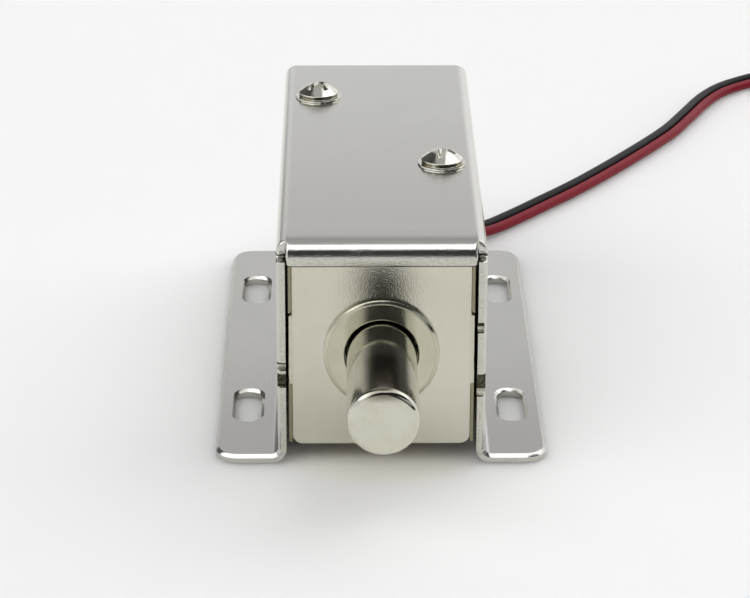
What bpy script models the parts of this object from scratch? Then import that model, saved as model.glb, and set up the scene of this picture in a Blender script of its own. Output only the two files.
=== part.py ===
"""Electric cabinet lock: a solenoid with a round sprung bolt in a folded steel cover.

Metres, +Z up. The lock lies on its two mounting flanges, the bolt points to -Y, and the
origin is on the surface that it lies on, below the middle of the lock.
"""
import math

import bmesh
import bpy
from mathutils import Matrix, Vector

MM = 0.001

# Clearances
seat_gap = 0.12 * MM
slide_gap = 0.15 * MM
loose_gap = 0.3 * MM
cut_over = 1.0 * MM

# Facets of the round forms
turn_steps = 48
small_turn_steps = 24
tip_steps = 2
wire_steps = 2
fold_steps = 4

# Cover: one steel sheet folded to a hat section
sheet = 1.0 * MM
cover_width = 24.0 * MM
cover_height = 27.5 * MM
cover_length = 64.6 * MM
flange_span = 38.6 * MM
cover_top_bend = 1.5 * MM
cover_foot_bend = 1.8 * MM
flange_corner = 2.6 * MM
slot_width = 3.1 * MM
slot_length = 8.9 * MM
slot_chamfer = 0.35 * MM
slot_steps = 8
slot_from_end = 14.1 * MM
slot_from_tip = 3.5 * MM

# Front flap of the cover and the reliefs beside it
flap_drop = 2.9 * MM
flap_bend = 2.3 * MM
flap_bend_run_in = 0.3 * MM
flap_slit = 0.12 * MM
slit_depth = 1.0 * MM
slit_overlap = 0.02 * MM
relief_height = 0.8 * MM
relief_depth = 1.6 * MM
bend_end_setback = 0.8 * MM

# Punched notches in the front edges of the side walls: height of the middle, height of the notch
notch_depth = 1.2 * MM
notch_round = 0.3 * MM
right_notches = ((17.0 * MM, 1.3 * MM), (9.8 * MM, 2.8 * MM))
left_notches = ((12.2 * MM, 1.0 * MM), (10.45 * MM, 1.7 * MM))

# Bolt
bolt_diameter = 8.0 * MM
bolt_reach = 19.5 * MM
bolt_tip_round = 0.8 * MM
bolt_travel = 10.0 * MM
plunger_diameter = 9.5 * MM
plunger_chamfer = 0.3 * MM
pole_land = 0.3 * MM
pole_cone = 1.55 * MM
pole_air = 0.3 * MM

# Return spring and its two seats
spring_wire = 0.5 * MM
spring_diameter = 4.6 * MM
spring_turns = 11
spring_points_per_turn = 10
spring_seat_in_bolt = 14.0 * MM
spring_seat_in_core = 3.0 * MM

# Solenoid frame: channel, front plate and rear plate
yoke_sheet = 1.0 * MM
yoke_side_gap = 0.3 * MM
yoke_top_gap = 0.2 * MM
yoke_foot = 1.9 * MM
yoke_bend = 1.2 * MM
plate_thickness = 1.6 * MM
plate_setback = 1.2 * MM
rear_setback = 2.2 * MM
lip_setback = 0.65 * MM
lip_thickness = 0.35 * MM
ear_foot = 9.6 * MM
ear_height = 8.4 * MM
plate_corner = 1.2 * MM
small_corner = 0.2 * MM

# Flanged bush in the front plate
bush_diameter = 13.3 * MM
bush_flange = 0.75 * MM
bush_chamfer = 0.25 * MM
bush_edge = 0.35 * MM
bush_tube_wall = 0.85 * MM
bush_stake = 0.5 * MM
bolt_clearance = 0.25 * MM
damper_thickness = 1.0 * MM

# Coil
sleeve_wall = 0.3 * MM
bobbin_wall = 0.8 * MM
bobbin_flange = 1.2 * MM
bobbin_side_gap = 0.2 * MM
bobbin_foot = 0.5 * MM
bobbin_corner = 1.0 * MM
tape_thickness = 0.25 * MM
coil_side_gap = 0.35 * MM

# Fixed core with its riveted stub
core_length = 12.4 * MM
stub_diameter = 5.2 * MM
rivet_diameter = 7.2 * MM
rivet_height = 0.8 * MM

# Screws with a domed flange head that hold the cover on the channel
screw_shank = 3.0 * MM
screw_length = 4.2 * MM
screw_point = 0.5 * MM
head_diameter = 5.9 * MM
head_flange = 0.3 * MM
head_flange_chamfer = 0.1 * MM
dome_diameter = 5.0 * MM
dome_wall = 0.15 * MM
crown_radius = 2.54 * MM
crown_slope = math.radians(39)
crown_steps = 4
cross_span = 3.3 * MM
cross_width = 0.85 * MM
cross_depth = 1.1 * MM
collar_wall = 0.8 * MM
collar_height = 1.0 * MM
screw_side = 7.55 * MM
rear_screw_from_end = 13.2 * MM
front_screw_depth = 26.1 * MM
rear_screw_turn = math.radians(40)
front_screw_turn = math.radians(-12.5)

# Twin leads
lead_diameter = 1.4 * MM
lead_pitch_inside = 2.1 * MM
lead_pitch_outside = 1.6 * MM
lead_side = 7.35 * MM
lead_drop = 8.94 * MM
lead_notch_gap = 0.6 * MM
splice_diameter = 1.9 * MM
splice_wall = 0.15 * MM
splice_length = 8.0 * MM
splice_plug = 2.5 * MM
splice_nose = 0.4 * MM
splice_steps = 16
lead_inside_length = 8.4 * MM

# Route of the pair of leads behind the lock: side, depth behind the cover's front edge, and
# share of the height at which they leave it
lead_route = (
    (7.7, 65.4, 0.936),
    (9.8, 68.4, 0.641),
    (12.4, 70.8, 0.256),
    (15.6, 73.9, 0.038),
    (19.6, 78.6, 0.0),
    (23.8, 83.8, 0.0),
    (28.2, 89.3, 0.0),
    (32.3, 94.9, 0.0),
    (38.4, 103.9, 0.0),
    (44.6, 113.8, 0.0),
    (48.2, 121.2, 0.0),
    (51.9, 129.2, 0.0),
    (55.6, 134.8, 0.0),
    (60.6, 138.7, 0.0),
    (65.0, 140.6, 0.026),
    (68.3, 141.3, 0.077),
)
lead_points_per_span = 2
lead_blend_spans = 3
tail_points_per_span = 3

# Coil of spare lead, its tie and the tail to the connector
coil_centre = (76.0 * MM, 131.5 * MM)
coil_outer = 10.6 * MM
coil_inner = 6.4 * MM
coil_lift = 0.5 * MM
coil_height = 2.8 * MM
coil_round = 0.7 * MM
tie_turn = math.radians(215)
tie_width = 2.0 * MM
tie_strap = 0.38 * MM
tie_head = 2.6 * MM
tail_route = (
    (82.4, 132.4, 4.3),
    (83.0, 129.0, 4.35),
    (83.5, 125.0, 4.3),
    (83.7, 121.8, 3.6),
    (83.7, 119.0, 2.9),
)

# Two-way connector housing with its crimp contacts
housing_width = 7.4 * MM
housing_height = 5.8 * MM
housing_length = 10.0 * MM
housing_corner = 0.4 * MM
housing_entry_depth = 118.2 * MM
contact_pitch = 2.5 * MM
cavity_size = 2.0 * MM
window_width = 1.5 * MM
window_length = 2.2 * MM
window_from_mouth = 2.4 * MM
housing_rib = 0.5 * MM
rib_height = 1.7 * MM
rib_length = 5.0 * MM
contact_size = 1.5 * MM
contact_length = 5.4 * MM
contact_wall = 0.3 * MM
barrel_diameter = 1.2 * MM
contact_recess = 0.8 * MM
lead_in_cavity = 1.2 * MM

# Places worked out from the sizes above
bolt_before_cover = bolt_reach - plate_setback
front_y = (bolt_before_cover - cover_length) / 2
inner_half = cover_width / 2 - sheet
yoke_half = inner_half - yoke_side_gap
yoke_inner_half = yoke_half - yoke_sheet
yoke_top = cover_height - sheet - yoke_top_gap
web_underside = yoke_top - yoke_sheet
plate_top = web_underside - seat_gap
bolt_height = (yoke_foot + plate_top) / 2
lead_height = bolt_height - lead_drop
flap_root = flap_bend + flap_bend_run_in
rear_screw_depth = cover_length - rear_screw_from_end
plate_half = yoke_half - lip_thickness - seat_gap
front_plate_back = plate_setback + plate_thickness
rear_plate_back = cover_length - rear_setback
rear_plate_front = rear_plate_back - plate_thickness
bolt_radius = bolt_diameter / 2
plunger_radius = plunger_diameter / 2
bush_bore = bolt_radius + bolt_clearance
bush_tube = bush_bore + bush_tube_wall
bush_end = front_plate_back + bush_stake
shoulder = bush_end + damper_thickness + 2 * seat_gap
sleeve_inner = plunger_radius + slide_gap
sleeve_outer = sleeve_inner + sleeve_wall
bobbin_bore = max(sleeve_outer, bush_tube) + seat_gap
bobbin_barrel = bobbin_bore + bobbin_wall
bobbin_front = front_plate_back + seat_gap
bobbin_back = rear_plate_front - seat_gap
core_face = bobbin_back - core_length
plunger_end = core_face - pole_air - bolt_travel
winding_front = bobbin_front + bobbin_flange + seat_gap
winding_back = bobbin_back - bobbin_flange - seat_gap
tape_outer = min(yoke_inner_half, web_underside - bolt_height) - coil_side_gap
tape_inner = tape_outer - tape_thickness
lead_start_depth = rear_plate_back - lead_inside_length
lead_radius = lead_diameter / 2
dome_radius = dome_diameter / 2
crown_edge = crown_radius * math.sin(crown_slope)
crown_drop = crown_radius * (1 - math.cos(crown_slope))
crown_foot = head_flange + dome_wall + (dome_radius - crown_edge) * math.tan(crown_slope)
head_height = crown_foot + crown_drop
lead_clear_side = lead_side - lead_pitch_inside / 2 - lead_radius - lead_notch_gap
lead_clear_top = lead_height + lead_radius + lead_notch_gap
connector_side = tail_route[-1][0] * MM
connector_lead_height = tail_route[-1][2] * MM


def clear_scene():
    for item in list(bpy.data.objects):
        bpy.data.objects.remove(item, do_unlink=True)


def collection(name):
    group = bpy.data.collections.new(name)
    bpy.context.scene.collection.children.link(group)
    return group


def material(name, colour, metallic, roughness):
    finish = bpy.data.materials.new(name)
    finish.use_nodes = True
    shader = finish.node_tree.nodes["Principled BSDF"]
    shader.inputs["Base Color"].default_value = (*colour, 1.0)
    shader.inputs["Metallic"].default_value = metallic
    shader.inputs["Roughness"].default_value = roughness
    return finish


def keep(name, data, finish, group):
    """Links a new object of the lock and gives it its finish."""
    item = bpy.data.objects.new(name, data)
    group.objects.link(item)
    data.materials.append(finish)
    return item


def as_cutter(item):
    """A guide solid: shown as wire and left out of renders."""
    item.hide_render = True
    item.display_type = "WIRE"
    return item


def cutter(name, data):
    item = bpy.data.objects.new(name, data)
    cutters.objects.link(item)
    return as_cutter(item)


def boolean(item, other, operation="DIFFERENCE"):
    step = item.modifiers.new(other.name, "BOOLEAN")
    step.object = other
    step.operation = operation
    step.solver = "EXACT"


def mesh_from(bm, name):
    data = bpy.data.meshes.new(name)
    bmesh.ops.recalc_face_normals(bm, faces=bm.faces)
    bm.to_mesh(data)
    bm.free()
    return data


def at_depth(depth):
    """The Y of a place that lies this far behind the cover's front edge."""
    return front_y + depth


def rounded_path(corners, radii, closed=False):
    """Points of a folded line whose corners are arcs of the given radii."""
    points = []
    last = len(corners) - 1
    for index, corner in enumerate(corners):
        radius = radii[index]
        at_end = not closed and index in (0, last)
        if at_end or radius <= 0:
            points.append(Vector(corner))
            continue
        here = Vector(corner)
        before = (Vector(corners[index - 1]) - here).normalized()
        after = (Vector(corners[(index + 1) % len(corners)]) - here).normalized()
        half = before.angle(after) / 2
        centre = here + (before + after).normalized() * radius / math.sin(half)
        start = here + before * radius / math.tan(half) - centre
        sweep = start.angle_signed(here + after * radius / math.tan(half) - centre)
        for step in range(fold_steps + 1):
            turn = Matrix.Rotation(-sweep * step / fold_steps, 2)
            points.append(centre + turn @ start)
    return points


def box_mesh(name, low, high, round_axis=None, radius=0.0):
    """A box between two corners, with the edges along one axis rounded."""
    low, high = Vector(low), Vector(high)
    size = high - low
    bm = bmesh.new()
    bmesh.ops.create_cube(bm, size=1.0)
    bmesh.ops.scale(bm, vec=size, verts=bm.verts)
    bmesh.ops.translate(bm, vec=(low + high) / 2, verts=bm.verts)
    if round_axis is not None:
        others = [axis for axis in range(3) if axis != round_axis]
        edges = [
            edge for edge in bm.edges
            if all(abs(edge.verts[0].co[axis] - edge.verts[1].co[axis]) < 1e-7 for axis in others)
        ]
        bmesh.ops.bevel(bm, geom=edges, offset=radius, segments=fold_steps, profile=0.5, affect="EDGES")
    return mesh_from(bm, name)


def prism_mesh(name, outline, axis, low, high):
    """A flat outline drawn out along one axis, between two places on it."""
    others = [index for index in range(3) if index != axis]
    bm = bmesh.new()
    verts = []
    for point in outline:
        place = [0.0, 0.0, 0.0]
        place[others[0]], place[others[1]] = point
        place[axis] = low
        verts.append(bm.verts.new(place))
    face = bm.faces.new(verts)
    moved = bmesh.ops.extrude_face_region(bm, geom=[face])["geom"]
    shift = [0.0, 0.0, 0.0]
    shift[axis] = high - low
    far_verts = [part for part in moved if isinstance(part, bmesh.types.BMVert)]
    bmesh.ops.translate(bm, vec=shift, verts=far_verts)
    return mesh_from(bm, name)


def folded_sheet(name, line, axis, low, high, thickness, finish, group):
    """A sheet that follows a folded line at its mid thickness, drawn out along one axis."""
    others = [index for index in range(3) if index != axis]
    bm = bmesh.new()
    rows = []
    for end in (low, high):
        row = []
        for point in line:
            place = [0.0, 0.0, 0.0]
            place[others[0]], place[others[1]] = point
            place[axis] = end
            row.append(bm.verts.new(place))
        rows.append(row)
    for index in range(len(line) - 1):
        bm.faces.new((rows[0][index], rows[0][index + 1], rows[1][index + 1], rows[1][index]))
    item = keep(name, mesh_from(bm, name), finish, group)
    wall = item.modifiers.new("thickness", "SOLIDIFY")
    wall.thickness = thickness
    wall.offset = 0.0
    wall.use_even_offset = True
    return item


def turned_mesh(name, profile, closed=False):
    """The line that a turned piece is spun from: radius, and depth below the piece's own origin."""
    bm = bmesh.new()
    verts = [bm.verts.new((radius, 0.0, -depth)) for radius, depth in profile]
    for first, second in zip(verts, verts[1:]):
        bm.edges.new((first, second))
    if closed:
        bm.edges.new((verts[-1], verts[0]))
    data = bpy.data.meshes.new(name)
    bm.to_mesh(data)
    bm.free()
    return data


def spin(item, steps=turn_steps):
    turn = item.modifiers.new("turning", "SCREW")
    turn.angle = math.tau
    turn.steps = steps
    turn.render_steps = steps
    turn.use_merge_vertices = True
    turn.merge_threshold = 0.000001
    turn.use_smooth_shade = True
    return item


def turned_on_bolt_axis(name, profile, finish, group, closed=False, steps=turn_steps):
    """A turned piece on the bolt's axis: its profile's depth runs to the rear from the front edge."""
    item = spin(keep(name, turned_mesh(name, profile, closed), finish, group), steps)
    item.location = (0.0, front_y, bolt_height)
    item.rotation_euler = (math.pi / 2, 0.0, 0.0)
    return item


def ring_profile(inner, outer, front, back):
    return ((outer, front), (outer, back), (inner, back), (inner, front))


def round_cutter(name, radius, low, high, axis, place):
    """A plain round cutter along Y (axis 1) or Z (axis 2) through a place."""
    bm = bmesh.new()
    bmesh.ops.create_cone(
        bm, cap_ends=True, segments=turn_steps, radius1=radius, radius2=radius, depth=high - low
    )
    if axis == 1:
        bmesh.ops.rotate(bm, matrix=Matrix.Rotation(math.pi / 2, 3, "X"), verts=bm.verts)
    shift = Vector(place)
    shift[axis] = (low + high) / 2
    bmesh.ops.translate(bm, vec=shift, verts=bm.verts)
    return cutter(name, mesh_from(bm, name))


def screw_places():
    """Side and depth of the two cover screws, and how far their cross is turned."""
    return {
        "screw_rear_left": (-screw_side, rear_screw_depth, rear_screw_turn),
        "screw_front_right": (screw_side, front_screw_depth, front_screw_turn),
    }


def cut_screw_holes(item, label, radius):
    for name, (side, depth, _turn) in screw_places().items():
        hole = round_cutter(
            f"{label}_{name}", radius, web_underside - collar_height - cut_over,
            cover_height + cut_over, 2, (side, at_depth(depth), 0.0),
        )
        boolean(item, hole)


def make_cover(group):
    """Hat section with a short flap folded down at the front between the side walls."""
    middle = sheet / 2
    wall = cover_width / 2 - middle
    tip = flange_span / 2
    top = cover_height - middle
    foot_radius = cover_foot_bend - middle
    top_radius = cover_top_bend - middle
    corners = ((-tip, middle), (-wall, middle), (-wall, top), (wall, top), (wall, middle), (tip, middle))
    line = rounded_path(corners, (0, foot_radius, top_radius, top_radius, foot_radius, 0))
    cover = folded_sheet(
        "cover", line, 1, at_depth(0.0), at_depth(cover_length), sheet, nickel_sheet, group
    )
    blank = rounded_path(
        (
            (-tip, at_depth(0.0)), (tip, at_depth(0.0)),
            (tip, at_depth(cover_length)), (-tip, at_depth(cover_length)),
        ),
        (flange_corner,) * 4, closed=True,
    )
    outline = prism_mesh("blank_outline", blank, 2, -cut_over, cover_height + cut_over)
    boolean(cover, cutter("blank_outline", outline), "INTERSECT")
    cut_flap_window(cover)
    cut_wall_notches(cover)
    cut_slots(cover)
    cut_screw_holes(cover, "cover_hole", screw_shank / 2 + seat_gap)
    flap_line = rounded_path(
        (
            (at_depth(flap_root + sheet), top),
            (at_depth(middle), top),
            (at_depth(middle), cover_height - flap_drop),
        ),
        (0, flap_bend - middle, 0),
    )
    flap_half = inner_half - flap_slit
    flap = folded_sheet("flap_strip", flap_line, 0, -flap_half, flap_half, sheet, nickel_sheet, cutters)
    boolean(cover, as_cutter(flap), "UNION")


def cut_flap_window(cover):
    """Takes the top sheet back where the flap is folded, and cuts the corner reliefs."""
    relief_top = cover_height - flap_drop + sheet / 2 + relief_height
    relief_foot = relief_top - relief_height
    window = box_mesh(
        "flap_window",
        (-inner_half, at_depth(-cut_over), cover_height - 2 * sheet),
        (inner_half, at_depth(slit_depth), cover_height + cut_over),
    )
    boolean(cover, cutter("flap_window", window))
    bend_half = inner_half - flap_slit - slit_overlap
    bend_window = box_mesh(
        "bend_window",
        (-bend_half, at_depth(-cut_over), cover_height - 2 * sheet),
        (bend_half, at_depth(flap_root), cover_height + cut_over),
    )
    boolean(cover, cutter("bend_window", bend_window))
    for side, label in ((-1, "left"), (1, "right")):
        edges = sorted((side * (inner_half - flap_slit), side * (cover_width / 2 + cut_over)))
        end = box_mesh(
            f"bend_end_{label}",
            (edges[0], at_depth(-cut_over), relief_top),
            (edges[1], at_depth(bend_end_setback), cover_height + cut_over),
        )
        boolean(cover, cutter(f"bend_end_{label}", end))
        relief = box_mesh(
            f"relief_{label}",
            (edges[0], at_depth(-cut_over), relief_foot),
            (edges[1], at_depth(relief_depth), relief_top),
            round_axis=0, radius=notch_round,
        )
        boolean(cover, cutter(f"relief_{label}", relief))


def cut_wall_notches(cover):
    for side, label, notches in ((-1, "left", left_notches), (1, "right", right_notches)):
        edges = sorted((side * (inner_half - cut_over), side * (cover_width / 2 + cut_over)))
        for number, (height, tall) in enumerate(notches, 1):
            name = f"notch_{label}_{number}"
            notch = box_mesh(
                name,
                (edges[0], at_depth(-notch_depth), height - tall / 2),
                (edges[1], at_depth(notch_depth), height + tall / 2),
                round_axis=0, radius=notch_round,
            )
            boolean(cover, cutter(name, notch))


def cut_slots(cover):
    """Four obround screw slots, two in each flange."""
    radius = slot_width / 2
    for side, label in ((-1, "left"), (1, "right")):
        centre = side * (flange_span / 2 - slot_from_tip)
        for depth, end in ((slot_from_end, "front"), (cover_length - slot_from_end, "rear")):
            name = f"slot_{label}_{end}"
            straight = slot_length / 2 - radius
            outline = obround(centre, at_depth(depth), radius, straight)
            boolean(cover, cutter(name, prism_mesh(name, outline, 2, -cut_over, sheet + cut_over)))
            edge = obround(centre, at_depth(depth), radius + slot_chamfer + cut_over, straight)
            low = sheet - slot_chamfer
            plug = chamfer_mesh(f"{name}_chamfer", outline, edge, low, sheet + cut_over)
            boolean(cover, cutter(f"{name}_chamfer", plug))


def chamfer_mesh(name, low_outline, high_outline, low, high):
    """A short plug along Z that widens from one outline to the other."""
    bm = bmesh.new()
    rings = []
    for outline, height in ((low_outline, low), (high_outline, high)):
        rings.append([bm.verts.new((x, y, height)) for x, y in outline])
    bm.faces.new(rings[0])
    bm.faces.new(rings[1])
    total = len(low_outline)
    for index in range(total):
        after = (index + 1) % total
        bm.faces.new((rings[0][index], rings[0][after], rings[1][after], rings[1][index]))
    return mesh_from(bm, name)


def obround(centre_x, centre_y, radius, half_straight):
    """A slot outline along Y: two half circles and the straight sides between them."""
    points = []
    for end, first in ((half_straight, 0.0), (-half_straight, math.pi)):
        for step in range(slot_steps + 1):
            angle = first + math.pi * step / slot_steps
            points.append((centre_x + radius * math.cos(angle), centre_y + end + radius * math.sin(angle)))
    return points


def make_yoke(group):
    """Channel of the solenoid frame: a web under the cover's top and two arms."""
    middle = yoke_sheet / 2
    arm = yoke_half - middle
    top = yoke_top - middle
    bend = yoke_bend - middle
    line = rounded_path(((-arm, yoke_foot), (-arm, top), (arm, top), (arm, yoke_foot)), (0, bend, bend, 0))
    front = plate_setback + lip_setback
    back = rear_plate_back - lip_setback
    yoke = folded_sheet("yoke", line, 1, at_depth(front), at_depth(back), yoke_sheet, plated_frame, group)
    seats = (
        ("front", -cut_over, front_plate_back + seat_gap),
        ("rear", rear_plate_front - seat_gap, cover_length + cut_over),
    )
    for label, start, end in seats:
        pocket_half = plate_half + seat_gap
        pocket = box_mesh(
            f"plate_pocket_{label}",
            (-pocket_half, at_depth(start), yoke_foot - cut_over),
            (pocket_half, at_depth(end), web_underside),
        )
        boolean(yoke, cutter(f"plate_pocket_{label}", pocket))
        window = box_mesh(
            f"ear_window_{label}",
            (-cover_width, at_depth(start), ear_foot - seat_gap),
            (cover_width, at_depth(end), ear_foot + ear_height + seat_gap),
        )
        boolean(yoke, cutter(f"ear_window_{label}", window))
    for name, (side, depth, _turn) in screw_places().items():
        collar = round_cutter(
            f"collar_{name}", screw_shank / 2 + seat_gap + collar_wall,
            web_underside - collar_height, web_underside + yoke_sheet / 2, 2, (side, at_depth(depth), 0.0),
        )
        boolean(yoke, collar, "UNION")
    cut_screw_holes(yoke, "yoke_hole", screw_shank / 2 + seat_gap)


def plate_outline():
    """End plate seen from the front: an ear on each side fits the windows in the arms."""
    ear_top = ear_foot + ear_height
    right = (
        (plate_half, yoke_foot, plate_corner),
        (plate_half, ear_foot, small_corner),
        (yoke_half, ear_foot, small_corner),
        (yoke_half, ear_top, small_corner),
        (plate_half, ear_top, small_corner),
        (plate_half, plate_top, small_corner),
    )
    left = tuple((-x, z, radius) for x, z, radius in reversed(right))
    whole = right + left
    corners = [(x, z) for x, z, _radius in whole]
    return rounded_path(corners, [radius for _x, _z, radius in whole], closed=True)


def end_plate(name, front, bore, group):
    data = prism_mesh(name, plate_outline(), 1, at_depth(front), at_depth(front + plate_thickness))
    plate = keep(name, data, plated_frame, group)
    hole = round_cutter(
        f"{name}_bore", bore, at_depth(front - cut_over), at_depth(front + plate_thickness + cut_over),
        1, (0.0, 0.0, bolt_height),
    )
    boolean(plate, hole)
    return plate


def lead_passage(name, front, back):
    """Cutter that takes away the lower right corner, where the leads pass."""
    data = box_mesh(
        name,
        (lead_clear_side, at_depth(front - cut_over), -cut_over),
        (cover_width, at_depth(back + cut_over), lead_clear_top),
        round_axis=1, radius=notch_round,
    )
    return cutter(name, data)


def make_plates(group):
    end_plate("front_plate", plate_setback, bush_tube + seat_gap, group)
    rear = end_plate("rear_plate", rear_plate_front, stub_diameter / 2 + seat_gap, group)
    boolean(rear, lead_passage("rear_plate_passage", rear_plate_front, rear_plate_back))


def make_bush(group):
    """Flanged bush: the ring on the front plate and the tube staked behind it."""
    face = plate_setback - seat_gap - bush_flange
    outer = bush_diameter / 2
    profile = (
        (bush_bore + bush_chamfer, face),
        (outer - bush_edge, face),
        (outer, face + bush_edge),
        (outer, plate_setback - seat_gap),
        (bush_tube, plate_setback - seat_gap),
        (bush_tube, bush_end),
        (bush_bore, bush_end),
        (bush_bore, face + bush_chamfer),
    )
    turned_on_bolt_axis("bolt_bush", profile, turned_nickel, group, closed=True)


def make_bolt(group):
    """Bolt and plunger in one: the rear end is a cone with the spring's seat bored into it."""
    tip = plate_setback - bolt_reach
    seat = spring_diameter / 2 + spring_wire / 2 + loose_gap
    nose = plunger_radius - pole_cone
    tip_arc = []
    for step in range(tip_steps + 1):
        angle = math.pi / 2 * step / tip_steps
        tip_arc.append((
            bolt_radius - bolt_tip_round * (1 - math.sin(angle)),
            tip + bolt_tip_round * (1 - math.cos(angle)),
        ))
    profile = (
        (0.0, tip),
        *tip_arc,
        (bolt_radius, shoulder),
        (plunger_radius - plunger_chamfer, shoulder),
        (plunger_radius, shoulder + plunger_chamfer),
        (plunger_radius, plunger_end - pole_cone),
        (nose, plunger_end),
        (seat, plunger_end),
        (seat, plunger_end - spring_seat_in_bolt),
        (0.0, plunger_end - spring_seat_in_bolt),
    )
    turned_on_bolt_axis("bolt", profile, turned_nickel, group)


def make_damper(group):
    inner = bolt_radius + slide_gap
    outer = plunger_radius - seat_gap
    front = bush_end + seat_gap
    profile = ring_profile(inner, outer, front, front + damper_thickness)
    turned_on_bolt_axis("damping_ring", profile, rubber, group, closed=True, steps=small_turn_steps)


def make_core(group):
    """Fixed core: a cup that takes the plunger's cone, with a stub riveted through the rear plate."""
    seat = spring_diameter / 2 + spring_wire / 2 + loose_gap
    nose = plunger_radius - pole_cone
    rim = plunger_radius - pole_land
    stub = stub_diameter / 2
    rivet = rivet_diameter / 2
    head = rear_plate_back + seat_gap
    profile = (
        (0.0, core_face + spring_seat_in_core),
        (seat, core_face + spring_seat_in_core),
        (seat, core_face),
        (nose, core_face),
        (rim, core_face - (rim - nose)),
        (plunger_radius, core_face - (rim - nose)),
        (plunger_radius, bobbin_back),
        (stub, bobbin_back),
        (stub, head),
        (rivet, head),
        (rivet, head + rivet_height / 2),
        (rivet - rivet_height / 2, head + rivet_height),
        (0.0, head + rivet_height),
    )
    turned_on_bolt_axis("fixed_core", profile, turned_nickel, group)


def make_spring(group):
    """Compression spring between the seat in the bolt and the seat in the core."""
    start = plunger_end - spring_seat_in_bolt + spring_wire / 2 + seat_gap
    end = core_face + spring_seat_in_core - spring_wire / 2 - seat_gap
    total = spring_turns * spring_points_per_turn
    curve = bpy.data.curves.new("return_spring", "CURVE")
    curve.dimensions = "3D"
    curve.bevel_depth = spring_wire / 2
    curve.bevel_resolution = wire_steps
    curve.use_fill_caps = True
    line = curve.splines.new("POLY")
    line.points.add(total)
    for index in range(total + 1):
        angle = math.tau * index / spring_points_per_turn
        place = (
            spring_diameter / 2 * math.cos(angle),
            at_depth(start + (end - start) * index / total),
            bolt_height + spring_diameter / 2 * math.sin(angle),
        )
        line.points[index].co = (*place, 1.0)
    keep("return_spring", curve, spring_steel, group)


def make_coil(group):
    """Guide sleeve, bobbin, winding and the tape round it."""
    turned_on_bolt_axis(
        "guide_sleeve", ring_profile(sleeve_inner, sleeve_outer, bush_end + seat_gap, bobbin_back),
        brass, group, closed=True,
    )
    bobbin = keep("bobbin", barrel_mesh(), nylon, group)
    flange_half = yoke_inner_half - bobbin_side_gap
    for label, front in (("front", bobbin_front), ("rear", bobbin_back - bobbin_flange)):
        flange = box_mesh(
            f"bobbin_flange_{label}",
            (-flange_half, at_depth(front), yoke_foot + bobbin_foot),
            (flange_half, at_depth(front + bobbin_flange), plate_top - bobbin_foot),
            round_axis=1, radius=bobbin_corner,
        )
        boolean(bobbin, cutter(f"bobbin_flange_{label}", flange), "UNION")
    bore = round_cutter(
        "bobbin_bore", bobbin_bore, at_depth(0.0), at_depth(cover_length), 1, (0.0, 0.0, bolt_height)
    )
    boolean(bobbin, bore)
    boolean(bobbin, lead_passage("bobbin_passage", bobbin_back - bobbin_flange, bobbin_back))
    winding_inner = bobbin_barrel + seat_gap
    winding = ring_profile(winding_inner, tape_inner - seat_gap, winding_front, winding_back)
    turned_on_bolt_axis("coil_winding", winding, copper, group, closed=True)
    wrap = ring_profile(tape_inner, tape_outer, winding_front, winding_back)
    turned_on_bolt_axis("coil_tape", wrap, tape, group, closed=True)


def barrel_mesh():
    """The bobbin's round barrel, before its flanges are joined and its bore is cut."""
    bm = bmesh.new()
    bmesh.ops.create_cone(
        bm, cap_ends=True, segments=turn_steps, radius1=bobbin_barrel, radius2=bobbin_barrel,
        depth=bobbin_back - bobbin_front,
    )
    bmesh.ops.rotate(bm, matrix=Matrix.Rotation(math.pi / 2, 3, "X"), verts=bm.verts)
    middle = at_depth((bobbin_front + bobbin_back) / 2)
    bmesh.ops.translate(bm, vec=(0.0, middle, bolt_height), verts=bm.verts)
    return mesh_from(bm, "bobbin")


def make_screws(group):
    """Screws with a thin flange, a dome with a conical side and a cross recess."""
    head = head_diameter / 2
    shank = screw_shank / 2
    for name, (side, depth, turn) in screw_places().items():
        profile = []
        for step in range(crown_steps + 1):
            angle = crown_slope * step / crown_steps
            profile.append((crown_radius * math.sin(angle), crown_radius * (1 - math.cos(angle)) - head_height))
        profile += [
            (dome_radius, -head_flange - dome_wall),
            (dome_radius, -head_flange),
            (head - head_flange_chamfer, -head_flange),
            (head, head_flange_chamfer - head_flange),
            (head, 0.0),
            (shank, 0.0),
            (shank, screw_length - screw_point),
            (shank - screw_point, screw_length),
            (0.0, screw_length),
        ]
        screw = spin(keep(name, turned_mesh(name, profile), turned_nickel, group), small_turn_steps)
        screw.location = (side, at_depth(depth), cover_height + seat_gap)
        for number in (0, 1):
            arm_name = f"cross_{name}_{number}"
            arm = cutter(arm_name, box_mesh(
                arm_name,
                (-cross_span / 2, -cross_width / 2, head_height - cross_depth),
                (cross_span / 2, cross_width / 2, head_height + cut_over),
            ))
            arm.location = screw.location
            arm.rotation_euler = (0.0, 0.0, turn + number * math.pi / 2)
            boolean(screw, arm)


def smooth_route(points, per_span):
    """Places along a smooth curve through the given points."""
    line = []
    for index in range(len(points) - 1):
        before = points[max(index - 1, 0)]
        first, second = points[index], points[index + 1]
        after = points[min(index + 2, len(points) - 1)]
        for step in range(per_span):
            t = step / per_span
            line.append(0.5 * (
                2 * first + (second - before) * t
                + (2 * before - 5 * first + 4 * second - after) * t * t
                + (3 * first - before - 3 * second + after) * t * t * t
            ))
    line.append(points[-1])
    return line


def beside(line, half_gaps):
    """Moves each place of a line level to the left of its heading by its own distance."""
    moved = []
    for index, place in enumerate(line):
        heading = line[min(index + 1, len(line) - 1)] - line[max(index - 1, 0)]
        left = Vector((-heading.y, heading.x, 0.0)).normalized()
        moved.append(place + left * half_gaps[index])
    return moved


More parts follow.
